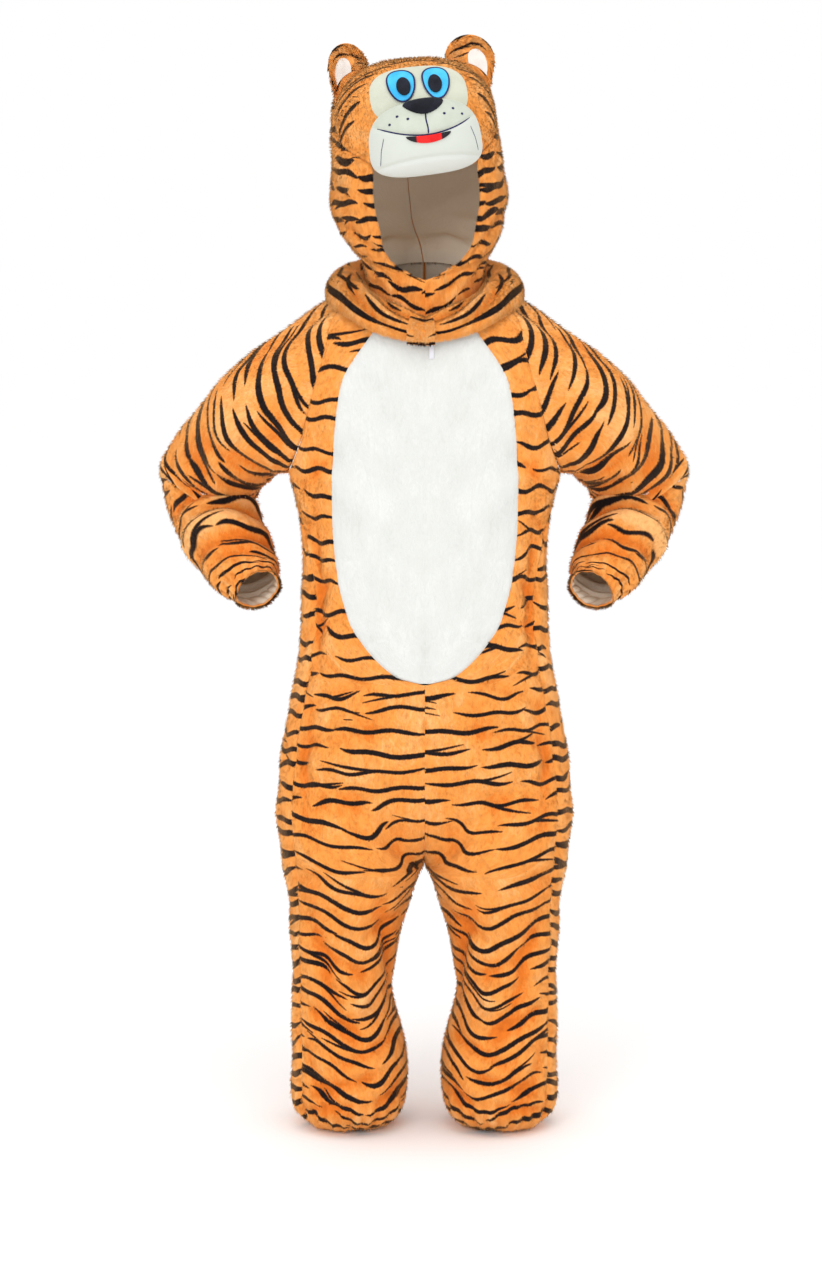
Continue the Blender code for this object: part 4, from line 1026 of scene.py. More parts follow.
def make_suit(tiger, cream):
    rows = fine_rows(body_form, BODY.last, [0.12, 0.3, 0.6, 0.85])
    first = belly_turn(rows)
    side = BODY("front_edge", rows)
    behind = np.where(rows > UNDERARM, side, BODY("back_edge", rows))
    belly_rows = rows[rows[:, 0] <= BELLY_END]
    turns = {
        "belly": (belly_rows, belly_turn(belly_rows) * np.linspace(0, 1, 29)),
        "front": (rows, first + (side - first) * np.linspace(0, 1, 41)),
        "back": (rows, behind + (1 - behind) * np.linspace(0, 1, 53)),
    }
    for kind, (row, turn) in turns.items():
        rest = body_form(row, turn)
        normal = unit(face_normals(rest))
        row = whole(row, turn.shape)
        height = BODY("height", row)
        keep = smoothstep(0.0, 0.05, turn) * smoothstep(0.0, 0.05, 1 - turn)
        raglan = np.minimum(np.abs(turn - BODY("front_edge", row)), np.abs(turn - BODY("back_edge", row)))
        held = 1 - smoothstep(0.02, 0.075, raglan) * smoothstep(0.3, 1.5, row)
        held = held * smoothstep(UNDERARM + 3.0, UNDERARM + 1.0, row)
        around = turn * HALF_TURN_LENGTH
        deeper = 1.35 + 0.35 * smoothstep(-600 * MM, -700 * MM, height)
        fold = -line_folds(BODY_CREASES, height, turn, HALF_TURN_LENGTH) * deeper
        fold += soft_waves(5, height, around, 34 * MM, 90 * MM, 1.1 * MM)
        fold = fold * (1 - held) - line_folds(BODY_FOLDS, height, turn, HALF_TURN_LENGTH)
        fold = fold * (0.7 if kind == "belly" else 1.0) * keep
        gather = smoothstep(-866 * MM, -900 * MM, height)
        gather = gather * (1 - 0.7 * smoothstep(-908 * MM, -919 * MM, height))
        pleat = np.sin(2 * math.pi * HEM_PLEATS * turn + 1.9 * np.sin(2 * math.pi * (3 * turn + 0.2)))
        fold += pleat * gather * 1.7 * MM
        worn = rest + normal * (fold - seam_dip(rest, ("first", "last")))[..., None]
        centre = (row <= CROTCH) & ((turn <= 1e-9) | (turn >= 1 - 1e-9))
        worn[..., 0] = np.where(centre, 0, np.maximum(worn[..., 0], 0))
        material, slot = (cream, "cream_plush") if kind == "belly" else (tiger, "tiger_plush")
        normal = unit(face_normals(worn))
        for side, (name, mirror) in enumerate(SIDES):
            flip = np.array([mirror, 1.0, 1.0])
            layers = bare(turn.size).reshape(-1, *turn.shape, 2)
            if kind != "belly":
                layers = printed(-height, around, strokes_of[side][kind])
            cloth(
                f"plush_{kind}_{name}", f"{kind}_{name}", worn * flip, normal * flip, layers, fold, material,
                turned=mirror < 0,
            )
            if kind != "belly":
                rims = [("low", 0, turn.shape[1] - 1, 500)]
                pile(kind, name, worn * flip, normal * flip, layers, fold, material, mirror, rims=rims)


COLLAR_LENGTH = 62 * MM
COLLAR_GIRTH = 330 * MM
HOOD_GIRTH = 340 * MM
CROWN_AT = 335 * MM  # how far up the hood its crown's pole lies
EAR_LENGTH = 58 * MM
EAR_GIRTH = 90 * MM
ARM_MIDDLE = SLEEVE_TURN_LENGTH / 2


def leg_swag(at, across):
    """How far the stripes are drawn down round the middle of the leg by the hang of the cloth."""
    deep = 1 * MM + 31 * MM * smoothstep(0.50, 0.68, at) * (1 - 0.5 * smoothstep(0.84, 0.91, at))
    lift = 30 * MM * np.clip(120 * MM - at, 0, 1) * across / (100 * MM)
    return deep * np.exp(-(((across - 84 * MM) / (44 * MM)) ** 2)) - lift


def back_swag(at, across):
    deep = 3 * MM + 15 * MM * smoothstep(0.52, 0.68, at)
    return deep * (1 - np.clip(np.abs(across - 300 * MM) / (110 * MM), 0, 1.4) ** 2)


def raglan_slant(at, across):
    """The stripes slant over the shoulder and turn into rings round the arm."""
    return np.abs(across - ARM_MIDDLE) * (0.10 - 0.08 * smoothstep(-20 * MM, 90 * MM, at))


def hood_slant(at, across):
    return 0.10 * (across - 100 * MM) * smoothstep(60 * MM, 140 * MM, at)


def crown_widening(at):
    """A stroke takes up more of the turn where the hood narrows to its crown."""
    return 1 / math.sqrt(max(1 - max(2 * at / CROWN_AT - 1, 0) ** 2, 0.1))


def level(_, across):
    return 0 * across


def body_spacing(at):
    return 24.5 * MM - 5.0 * MM * smoothstep(0.33, 0.42, at) - 1.8 * MM * smoothstep(0.60, 0.68, at)


def limit(value):
    return lambda at: value


# Strokes listed one by one, in millimetres along the piece and across it from its front middle.
TEMPLE_STROKES = Sections(
    "at_a across_a at_b across_b bow half",
    [
        (272, 44, 238, 140, 9, 2.5),
        (259, 74, 218, 150, 8, 2.6),
        (243, 84, 202, 148, 6, 2.4),
        (221, 84, 187, 136, 5, 3.0),
        (201, 92, 170, 146, 5, 2.4),
        (286, 8, 276, 66, 3, 2.0),
    ],
)
COLLAR_STROKES = Sections(
    "at_a across_a at_b across_b bow half",
    [
        (37, 16, 25, 88, 4, 2.0),
        (25, 28, 13, 80, 3, 1.7),
        (13, 34, 5, 66, 2, 1.8),
        (32, 100, 16, 146, 3, 2.6),
        (12, 98, 5, 134, 2, 2.1),
    ],
)


def thinned(strokes, start, stop, from_share, to_share):
    """Strokes whose half width goes from one share of itself to another along the piece."""
    def share(line):
        return from_share + (to_share - from_share) * smoothstep(start, stop, line[:, 0])

    return [(line, half * share(line)) for line, half in strokes]


def make_strokes(side):
    girth = HALF_TURN_LENGTH
    edge_row = lambda at: BODY.row_at("height", -at)
    side_seam = lambda at: float(BODY("front_edge", edge_row(at))) * girth
    belly_seam = lambda at: float(belly_turn(edge_row(at))) * girth
    hood_seam = lambda at: float(HOOD("edge", HOOD.row_at("height", at - 30 * MM))) * HOOD_GIRTH
    made = {
        "front": stroke_rows("front", side, body_spacing, belly_seam, side_seam, leg_swag),
        "back": stroke_rows("back", side, body_spacing, side_seam, limit(girth), back_swag),
        "sleeve": stroke_rows(
            "sleeve", side, limit(17.5 * MM), limit(0.0), limit(SLEEVE_TURN_LENGTH), raglan_slant
        ),
        "hood": stroke_rows(
            "hood", side, limit(16 * MM), hood_seam, limit(HOOD_GIRTH), hood_slant, crown_widening
        ),
        "dome": stroke_rows("dome", side, limit(16 * MM), limit(-0.16), limit(0.16), level, crown_widening),
        "collar": stroke_rows("collar", side, limit(17 * MM), limit(0.16), limit(COLLAR_GIRTH), level),
        "ear": stroke_rows("ear", side, limit(15 * MM), limit(0.0), limit(0.09), level),
    }
    temple = own_strokes(TEMPLE_STROKES)
    made["dome"] += temple + [(line * np.array([1, -1]), half) for line, half in temple]
    made["collar"] += own_strokes(COLLAR_STROKES)
    made["sleeve"] = thinned(made["sleeve"], 70 * MM, 140 * MM, 1.0, 0.7)
    made["hood"] = thinned(made["hood"], 50 * MM, 110 * MM, 0.6, 1.0)
    across = np.linspace(-10 * MM, COLLAR_GIRTH + 10 * MM, 60)
    band = 49 * MM + 1.0 * MM * np.sin(across / (11 * MM) + side)
    wide = 2.1 + 2.2 * np.exp(-(((across - 105 * MM) / (60 * MM)) ** 2)) + 0.5 * np.sin(across / (9 * MM))
    made["collar"].append((np.stack([band, across], 1), wide * MM))
    return {kind: in_layers(strokes) for kind, strokes in made.items()}


def arm_along(row, points):
    """How far along the arm each point of a sleeve lies: 0 at the first ring past the raglan."""
    way = unit(sleeve_middle(np.array(0.5)) - sleeve_middle(np.array(0.0)))
    ring = (points - sleeve_middle(np.array(0.0))) @ way
    share = np.clip(row / RAGLAN_ROWS, 0, 1)
    first = sleeve_ring(np.zeros(points.shape[1]), np.linspace(0, 1, points.shape[1]))
    first = (first - sleeve_middle(np.array(0.0))) @ way
    return np.where(row < RAGLAN_ROWS, ring - first[None] * share, (row - RAGLAN_ROWS) * SLEEVE_ROW_LENGTH)


def make_sleeves(tiger):
    last = RAGLAN_ROWS + SLEEVE.last
    row = fine_rows(sleeve_form, last, [0.2, 0.5, 0.8])
    turn = np.linspace(0, 1, 85)[None]
    rest = sleeve_form(row, turn)
    row, turn = whole(row, rest.shape[:2]), whole(turn, rest.shape[:2])
    normal = unit(face_normals(rest))
    at = row * SLEEVE_ROW_LENGTH
    keep = smoothstep(0.0, 2.0, row) * smoothstep(last - 0.5, last - 2.5, row)
    fold = line_folds(SLEEVE_FOLDS, at, turn, SLEEVE_TURN_LENGTH, whole_turn=True) * keep
    fold -= line_folds(SLEEVE_CREASES, at, turn, SLEEVE_TURN_LENGTH, whole_turn=True) * keep * 1.35
    mid = smoothstep(0.0, 0.06, turn) * smoothstep(0.0, 0.06, 1 - turn)
    waves = soft_waves(9, at, turn * SLEEVE_TURN_LENGTH, 26 * MM, 60 * MM, 1.0 * MM)
    fold += waves * mid * smoothstep(0, 1, row)
    pleat = np.sin(2 * math.pi * CUFF_PLEATS * turn + 1.8 * np.sin(2 * math.pi * (2 * turn + 0.3)))
    gather = smoothstep(last - 2.2, last - 0.9, row) * (1 - 0.7 * smoothstep(last - 0.5, last, row))
    fold += pleat * gather * 1.1 * MM
    worn = rest + normal * (fold - seam_dip(rest, ("top", "first", "last")))[..., None]
    worn[:, -1] = worn[:, 0] = (worn[:, 0] + worn[:, -1]) / 2
    along = arm_along(row, rest)
    normal = unit(face_normals(worn))
    for side, (name, mirror) in enumerate(SIDES):
        flip = np.array([mirror, 1.0, 1.0])
        layers = printed(along, turn * SLEEVE_TURN_LENGTH, strokes_of[side]["sleeve"])
        cloth(
            f"plush_sleeve_{name}", f"sleeve_{name}", worn * flip, normal * flip, layers, fold, tiger,
            turned=mirror < 0,
        )
        rims = [("low", 0, turn.shape[1] - 1, 900)]
        pile("sleeve", name, worn * flip, normal * flip, layers, fold, tiger, mirror, rims=rims)


HOOD_CREASES = Sections(
    "at_a ~turn_a at_b ~turn_b depth width",
    [
        (-8, 0.06, 24, 0.26, 3.0, 7),
        (4, 0.30, 34, 0.44, 3.0, 8),
        (30, 0.14, 66, 0.34, 2.5, 8),
        (58, 0.26, 82, 0.50, 3.0, 9),
        (96, 0.24, 132, 0.42, 2.0, 10),
        (-6, 0.66, 30, 0.92, 3.0, 9),
        (44, 0.58, 76, 0.88, 3.5, 10),
        (84, 0.94, 128, 0.66, 3.0, 11),
        (150, 0.52, 196, 0.70, 2.5, 12),
        (172, 0.90, 218, 0.70, 2.5, 11),
        (226, 0.56, 246, 0.92, 2.0, 9),
    ],
)
COLLAR_CREASES = Sections(
    "at_a ~turn_a at_b ~turn_b depth width",
    [
        (3, 0.35, 25, 0.03, 5.0, 5.5),
        (22, 0.39, 49, 0.10, 4.5, 6),
        (13, 0.37, 38, 0.05, -3.5, 5.5),
        (35, 0.42, 58, 0.22, -3.0, 6),
        (4, 0.18, 12, 0.02, -2.5, 4.5),
        (12, 0.46, 52, 0.52, 2.5, 7),
        (14, 0.66, 54, 0.58, 3.0, 7),
        (10, 0.80, 50, 0.88, 2.5, 8),
    ],
)


def make_hood(tiger):
    rows = fine_rows(hood_point, HOOD.last, [0.1, 0.5, 0.8])[::-1]
    edge = np.maximum(HOOD("edge", rows), 0)
    dome_rows = rows[rows[:, 0] >= FACE_TOP]
    for kind in ("hood", "dome"):
        row = rows if kind == "hood" else dome_rows
        if kind == "hood":
            turn = edge + (1 - edge) * np.linspace(0, 1, 69)
        else:
            turn = HOOD("edge", dome_rows) * np.linspace(-1, 1, 79)
        rest = hood_point(row, turn)
        row = whole(row, turn.shape)
        normal = unit(face_normals(rest))
        height = HOOD("height", row)
        fold = soft_waves(14, height, np.abs(turn) * HOOD_GIRTH, 26 * MM, 70 * MM, 0.9 * MM)
        fold = fold * smoothstep(258 * MM, 240 * MM, height)
        if kind == "hood":
            fold -= line_folds(HOOD_CREASES, height, turn, HOOD_GIRTH) * smoothstep(0.0, 0.03, 1 - turn)
            dip = seam_dip(rest, ("last",))
            open_edge = smoothstep(FACE_TOP + 1.0, FACE_TOP, row)
            dip = np.maximum(dip, seam_dip(rest, ("first",)) * (1 - open_edge))
            from_edge = lengths_along(rest, 1)
            rolled = 1.6 * MM * np.exp(-(((from_edge - 4 * MM) / (4 * MM)) ** 2)) * open_edge
            rolled *= smoothstep(4.0, 5.5, row)
            worn = rest + normal * (fold + rolled - dip)[..., None]
            worn[..., 0] = np.where((turn <= 1e-9) | (turn >= 1 - 1e-9), 0, worn[..., 0])
        else:
            worn = rest + normal * (fold - seam_dip(rest, ("first", "last")))[..., None]
        arc = np.linspace(0, HOOD.last, 300)
        far = np.linalg.norm(np.diff(hood_point(arc, np.full(300, 0.3)), axis=0), axis=1)
        along = np.interp(row, arc, np.concatenate([[0], np.cumsum(far)]))
        if kind == "dome":
            worn = head_pose(worn)
            normal = unit(face_normals(worn))
            layers = printed(along, turn * HOOD_GIRTH, strokes_of[0]["dome"])
            cloth(
                "plush_forehead", "hood_forehead", worn, normal, layers, fold, tiger,
            )
            pile("forehead", "", worn, normal, layers, fold, tiger, 1.0, lighter=1.0)
            continue
        for side, (name, mirror) in enumerate(SIDES):
            posed = head_pose(worn * np.array([mirror, 1.0, 1.0]))
            normal = unit(face_normals(posed)) * mirror
            layers = printed(along, turn * HOOD_GIRTH, strokes_of[side]["hood"])
            cloth(
                f"plush_hood_{name}", f"hood_{name}", posed, normal, layers, fold, tiger,
                turned=mirror < 0, hemmed=False,
            )
            open_rows = np.flatnonzero((row[:, 0] > 4.3) & (row[:, 0] < 11.6))
            rims = [("first", open_rows.min(), open_rows.max(), 1500)]
            pile("hood", name, posed, normal, layers, fold, tiger, mirror, rims=rims)


def make_collar(tiger):
    row, turn = np.linspace(0, 1, 25)[:, None], np.linspace(0, 1, 111)[None]
    rest = collar_point(row, turn)
    row, turn = whole(row, rest.shape[:2]), whole(turn, rest.shape[:2])
    normal = unit(face_normals(rest))
    at = row * COLLAR_LENGTH
    keep = smoothstep(0.0, 0.02, turn) * smoothstep(0.0, 0.04, 1 - turn)
    fold = -line_folds(COLLAR_CREASES, at, turn, COLLAR_GIRTH) * keep
    waves = soft_waves(27, at, turn * COLLAR_GIRTH, 26 * MM, 60 * MM, 0.9 * MM)
    fold += waves * keep * smoothstep(0.0, 0.3, row)
    worn = rest + normal * (fold - seam_dip(rest, ("last",)))[..., None]
    worn[..., 0] = np.where((turn <= 1e-9) | (turn >= 1 - 1e-9), 0, np.maximum(worn[..., 0], 0))
    normal = unit(face_normals(worn))
    for side, (name, mirror) in enumerate(SIDES):
        flip = np.array([mirror, 1.0, 1.0])
        layers = printed(at, turn * COLLAR_GIRTH, strokes_of[side]["collar"])
        cloth(
            f"plush_collar_{name}", f"collar_{name}", worn * flip, normal * flip, layers, fold, tiger,
            turned=mirror < 0,
        )
        rims = [("low", 0, turn.shape[1] - 1, 1600)]
        pile("collar", name, worn * flip, normal * flip, layers, fold, tiger, mirror, rims=rims)


def ear_full(across, up):
    """How thick an ear is at each place, as a share of its half thickness."""
    return np.sqrt(np.clip(1 - np.abs(2 * across - 1) ** 3, 0, 1) * (1 - 0.92 * up**4))


def make_ears(tiger, lining):
    for number, (name, side) in enumerate(SIDES):
        up, across = np.linspace(0, 1, 27)[:, None], np.linspace(0, 1, 45)[None]
        half = 0.9 * MM + EAR_THICK * ear_full(across, up)
        front, back = ear_grid(side, across, up, half), ear_grid(side, across, up, -half)
        along, round_it = whole(up * EAR_LENGTH, half.shape), whole(across * EAR_GIRTH, half.shape)
        layers = printed(along, round_it, strokes_of[number]["ear"])
        posed_front, posed_back = head_pose(front), head_pose(back)
        faces = shell_faces(*half.shape)
        outward = unit(face_normals(posed_front))
        away = (outward * (posed_front - posed_back)).sum()
        outward, faces = (outward, faces) if away > 0 else (-outward, faces[:, ::-1])
        points = np.concatenate([posed_front.reshape(-1, 3), posed_back.reshape(-1, 3)])
        made = add_mesh(f"plush_ear_{name}", points, faces, tiger)
        finish_values(made, posed_front, layers)
        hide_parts(f"ear_{name}")
        zero = np.zeros(half.shape)
        lined = whole((np.abs(across - 0.5) < 0.22) & (up < 0.62) & (up > 0.18), half.shape)
        pile(
            "ear", name, posed_front, outward, layers, zero, tiger, 1.0,
            upward=True, parting=lined, lighter=1.0,
        )
        pile("ear_back", name, posed_back, -outward, layers, zero, tiger, 1.0, upward=True)

        t, height = np.linspace(-1, 1, 27)[None], np.linspace(0.20, 0.66, 25)[:, None]
        narrow = np.sqrt(np.clip(1.02 - (height / 0.67) ** 3, 0.03, 1))
        inner = 0.5 + 0.2 * t * narrow
        height = height - 0.03 * t**2 * height
        half = 0.9 * MM + EAR_THICK * ear_full(inner, height)
        crease = 0.5 * MM * np.sin(31 * inner + 5 * height) * np.sin(9 * height + 1)
        grid = head_pose(ear_grid(side, inner, height, half + LAP + 1.2 * MM + crease))
        normal = unit(face_normals(grid))
        under = head_pose(ear_grid(side, inner, height, half + LAP))
        if (normal * (grid - under)).sum() < 0:
            normal = -normal
        zero = np.zeros(grid.shape[:2])
        cloth(
            f"lining_ear_{name}", f"ear_lining_{name}", grid, normal, bare(zero.size), zero, lining,
            thick=1.2 * MM,
            turned=(face_normals(grid) * normal).sum() < 0,
        )


def finish_values(made, grid, layers):
    """What a stuffed piece's pile reads, from the grid of its front face. Its back has the same."""
    along, across = lengths_along(grid, 0), lengths_along(grid, 1)
    nap = np.stack([across.ravel(), along.ravel(), np.zeros(along.size)], 1)
    give(made, "nap", np.concatenate([nap, nap]))
    flat = layers.reshape(-1, along.size, 2)
    give_print(made, np.concatenate([flat, flat], 1))
    give(made, "fold", np.zeros(2 * along.size))
    give(made, "inside", np.zeros(2 * along.size))


def stuffed(name, node, base, top, material):
    """A stuffed or laid-on piece between two polar grids. Row 0 is the rim, the last row the middle."""
    rows, columns = base.shape[:2]
    points, faces = [], []
    for start, grid in ((0, top), ((rows - 1) * columns + 1, base)):
        points += [*grid[:-1].reshape(-1, 3), grid[-1].mean(0)]
        middle = start + (rows - 1) * columns
        for j in range(columns):
            k = (j + 1) % columns
            cells = [(start + i * columns + j, start + i * columns + k) for i in range(rows - 1)]
            made = [(a, b, d, c) for (a, b), (c, d) in zip(cells[:-1], cells[1:])]
            made.append((*cells[-1], middle))
            faces += made if start == 0 else [face[::-1] for face in made]
    under = (rows - 1) * columns + 1
    for j in range(columns):
        k = (j + 1) % columns
        faces.append((j, under + j, under + k, k))
    made = add_mesh(name, points, faces, material)
    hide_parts(node)
    return made


def on_face(x, z):
    """The face's flat places as one list of points, with the middle point last, for stuffed pieces."""
    flat = stacked(x, np.zeros_like(x), z)
    return np.concatenate([flat[:-1].reshape(-1, 3), [flat[-1].mean(0)]])


def smile_at(x):
    """The height of the mouth's line across the muzzle."""
    return SMILE_HEIGHT + SMILE_BEND * x**2


def lip_seam_at(x):
    return LIP_SEAM_HEIGHT - LIP_SEAM_BEND * x**2


def groove(away, deep, wide):
    return deep * np.exp(-((away / wide) ** 2))


def muzzle_relief(x, z):
    """How far the muzzle's cover stands off its smooth form: it draws in at its seams and lines."""
    reach = smoothstep(56 * MM, 46 * MM, np.abs(x))
    off = -groove(z - smile_at(x), 1.5 * MM, 2.0 * MM) * reach
    off = off - groove(z - lip_seam_at(x), 1.5 * MM, 2.2 * MM)
    under_nose = smoothstep(166 * MM, 170 * MM, z) * smoothstep(196 * MM, 188 * MM, z)
    off = off - groove(x, 0.8 * MM, 1.8 * MM) * under_nose
    cheeks = groove(np.abs(x) - 24 * MM, 1.6 * MM, 16 * MM) * smoothstep(170 * MM, 178 * MM, z)
    pucker = 0.2 * MM * np.sin(x / (2.6 * MM) + 0.7 * np.sin(x / (9 * MM)))
    pucker = pucker * groove(z - lip_seam_at(x) + 4 * MM, 1.0, 5 * MM)
    return off + cheeks + pucker


def make_muzzle(material):
    angles = np.linspace(0, 2 * math.pi, 132, endpoint=False)
    bx, bz = outline(MUZZLE_BASE, angles)
    ox, oz = outline(MUZZLE, angles)
    held = dome_point(*askew(MUZZLE_BASE[0] + bx, MUZZLE_BASE[1] + bz, MUZZLE_ROLL))[..., 1]
    rings, flat = [], []
    for spread in np.linspace(0.0, 0.92, 9):
        share = np.interp(spread, [0.0, 0.45, 0.85, 1.0], [0.03, 0.10, 0.22, MUZZLE_RIM_SHARE])
        x = (MUZZLE_BASE[0] + bx) * (1 - spread) + (MUZZLE[0] + ox) * spread
        z = (MUZZLE_BASE[1] + bz) * (1 - spread) + (MUZZLE[1] + oz) * spread
        tx, tz = askew(x, z, MUZZLE_ROLL)
        rings.append(stacked(tx, held - LAP - MUZZLE_HEIGHT * share, tz))
        flat.append((x, z))
    for reach in np.cos(np.linspace(0.0, math.pi / 2, 38)):
        x, z = MUZZLE[0] + ox * reach, MUZZLE[1] + oz * reach
        edge = smoothstep(1.0, 0.93, reach)
        point = muzzle_face(x, z, muzzle_relief(x, z) * edge) if reach < 0.999 else muzzle_point(x, z)
        rings.append(point)
        flat.append((x, z))
    base = []
    for inward in np.linspace(1, 0, len(rings)):
        x, z = askew(MUZZLE_BASE[0] + bx * inward, MUZZLE_BASE[1] + bz * inward, MUZZLE_ROLL)
        base.append(dome_point(x, z) + dome_normal(x, z) * LAP)
    base, rings = head_pose(np.array(base)), head_pose(np.array(rings))
    made = stuffed("muzzle_stuffed", "muzzle", base, rings, material)
    top = on_face(np.array([x for x, _ in flat]), np.array([z for _, z in flat]))
    give(made, "face", np.concatenate([top, top]))


def laid_on(
    name, node, shape, surface, lift, rim, rise, columns, rows, material, low=None, bend=0.0
):
    """A piece of felt on a surface. rim is its thickness at the edge, rise how much more it has inside."""
    angles = np.linspace(0, 2 * math.pi, columns, endpoint=False)
    ox, oz = outline(shape, angles)
    reach = np.cos(np.linspace(0, math.pi / 2, rows))[:, None]
    if low is not None:
        oz = np.maximum(shape[1] + oz, low(shape[0] + ox) + 2 * LAP) - shape[1]
    x, z = shape[0] + ox * reach, shape[1] + oz * reach
    z = z + bend * (x - shape[0]) ** 2
    base = surface(x, z, np.full(x.shape, lift))
    top = surface(x, z, lift + rim + rise * np.sqrt(np.maximum(1 - reach**2, 0)) + 0 * x)
    made = stuffed(name, node, head_pose(base), head_pose(top), material)
    flat = on_face(x, z)
    give(made, "face", np.concatenate([flat, flat]))


def thread(name, runs, half, material):
    """Embroidered lines: each run is a line of points with its normals, raised as a half-round thread."""
    points, faces = [], []
    turn = np.linspace(0, 2 * math.pi, 8, endpoint=False)
    for line, normal, closed in runs:
        if closed:
            along = unit(np.roll(line, -1, 0) - np.roll(line, 1, 0))
        else:
            along = unit(np.gradient(line, axis=0))
        across = unit(np.cross(along, normal))
        width = np.full(len(line), half)
        if not closed:
            t = np.linspace(0, 1, len(line))
            width = half * np.clip(np.minimum(t, 1 - t) * 14, 0.25, 1) ** 0.5
        ring = line[:, None] + across[:, None] * np.cos(turn)[:, None] * width[:, None, None]
        ring = ring + normal[:, None] * np.sin(turn)[:, None] * width[:, None, None] * 0.55
        start, count, sides = len(points), len(line), len(turn)
        points += list(ring.reshape(-1, 3))
        for i in range(count if closed else count - 1):
            here, ahead = start + i * sides, start + (i + 1) % count * sides
            for j in range(sides):
                k = (j + 1) % sides
                faces.append((here + j, here + k, ahead + k, ahead + j))
        if not closed:
            faces.append(tuple(start + j for j in range(sides))[::-1])
            faces.append(tuple(start + (count - 1) * sides + j for j in range(sides)))
    made = add_mesh(name, points, faces, material)
    face_outward(made)


def face_outward(made):
    select_only(made)
    bpy.ops.object.mode_set(mode="EDIT")
    bpy.ops.mesh.select_all(action="SELECT")
    bpy.ops.mesh.normals_make_consistent(inside=False)
    bpy.ops.object.mode_set(mode="OBJECT")
    made.select_set(False)


def drawn_on(surface, x, z, off):
    """A line on the face and the way that the face looks there."""
    x, z = np.asarray(x, float), np.asarray(z, float)
    line = head_pose(surface(x, z, np.full(x.shape, off)))
    return line, unit(head_pose(surface(x, z, np.full(x.shape, off + 1 * MM))) - line)


def muzzle_cover(x, z, off):
    return muzzle_face(x, z, muzzle_relief(x, z) + off)


WHISKERS = Sections("x z", [(-18.5, 186.3), (-28.3, 190.2), (-37, 183.6), (19, 187), (29, 191), (38, 185)])


def make_face(material):
    cream, blue, black = material["cream_felt"], material["blue_felt"], material["black_felt"]
    make_muzzle(cream)
    laid_on(
        "brow_cover", "brow_patch", BROW, dome_face, BROW_LIFT, 1.6 * MM, 1.6 * MM, 120, 14,
        material["brow_felt"], low=muzzle_base_top,
    )
    outlines = []
    for name, side in SIDES:
        eye, pupil = (EYE[0] * side, *EYE[1:]), (PUPIL[0] * side, *PUPIL[1:])
        laid_on(
            f"eye_cloth_{name}", f"eye_{name}", eye, dome_face, EYE_LIFT, 1.0 * MM, 0.6 * MM, 72, 12,
            blue,
        )
        laid_on(
            f"pupil_cloth_{name}", f"pupil_{name}", pupil, dome_face, PUPIL_LIFT, 0.8 * MM, 0.8 * MM, 48, 10,
            black,
        )
        angles = np.linspace(0, 2 * math.pi, 90, endpoint=False)
        ox, oz = outline(eye, angles)
        line, normal = drawn_on(dome_face, eye[0] + ox, eye[1] + oz, EYE_LIFT + 1.1 * MM)
        outlines.append((line, normal, True))
    thread("eye_outlines", outlines, 1.0 * MM, material["navy_thread"])
    laid_on(
        "nose_cloth", "nose", NOSE, muzzle_face, LAP, 1.5 * MM, 5.0 * MM, 96, 18,
        black,
    )
    laid_on(
        "mouth_cloth", "mouth", MOUTH, muzzle_face, LAP, 0.9 * MM, 0.6 * MM, 72, 10,
        material["mouth_felt"], bend=SMILE,
    )
    runs = []
    x = np.linspace(-50 * MM, 47.5 * MM, 120)
    runs.append((*drawn_on(muzzle_cover, x, smile_at(x), 0.25 * MM), False))
    z = np.linspace(191 * MM, 169.4 * MM, 30)
    runs.append((*drawn_on(muzzle_cover, 0.0004 * np.sin(z / (3 * MM)), z, 0.25 * MM), False))
    thread("mouth_stitching", runs, 0.8 * MM, material["navy_thread"])
    runs = []
    for x, z in WHISKERS.values:
        turn = np.linspace(0, 2 * math.pi, 14, endpoint=False)
        ring = drawn_on(muzzle_cover, x + 0.75 * MM * np.cos(turn), z + 0.6 * MM * np.sin(turn), 0.2 * MM)
        runs.append((*ring, True))
    thread("whisker_dots", runs, 0.75 * MM, material["navy_thread"])
    runs = []
    for xs, zs in (((-45, -49, -51), (171, 158, 144)), ((46, 50, 52), (172, 160, 147))):
        t = np.linspace(0, 2, 24)
        x = np.interp(t, range(3), xs) * MM
        z = np.interp(t, range(3), zs) * MM
        runs.append((*drawn_on(muzzle_cover, x, z, 0.1 * MM), False))
    thread("cheek_stitching", runs, 0.4 * MM, material["navy_thread"])


TAB_STROKES = Sections(
    "at_a across_a at_b across_b bow half",
    [
        (2, -3, 3, 36, 1, 2.2),
        (20, -3, 22, 8, 1, 2.0),
        (37, -3, 36, 36, 1, 2.6),
        (22, 24, 19, 36, -1, 2.0),
    ],
)


def make_tab(tiger):
    row = np.interp(np.linspace(0, 5, 41), range(6), [0.34, 0.5, 0.66, 0.82, 0.94, 1.0])
    turn = np.linspace(TAB_FROM, TAB_TO, 31)
    grid = collar_point(row[:, None], turn[None])
    drop = np.linspace(0, 1, 10)[1:, None, None] * np.array([0.0, -1.0 * MM, -TAB_DROP])
    grid = np.concatenate([grid, grid[-1:] + drop])
    normal = unit(face_normals(grid))
    rows, columns = grid.shape[:2]
    i, j = np.linspace(0, 1, rows)[:, None], np.linspace(0, 1, columns)[None]
    rim = 1 - np.maximum(np.abs(2 * i - 1), np.abs(2 * j - 1)) ** 6
    off = LAP + 1.6 * MM + 2.2 * MM * rim
    layers = printed(i * 38 * MM + 0 * j, j * 32 * MM + 0 * i, in_layers(own_strokes(TAB_STROKES)))
    zero = np.zeros(grid.shape[:2])
    outer = grid + normal * off[..., None]
    cloth(
        "plush_tab", "neck_tab", outer, normal, layers, zero, tiger,
    )
    pile("tab", "", outer, normal, layers, zero, tiger, 1.0, lighter=5.0)


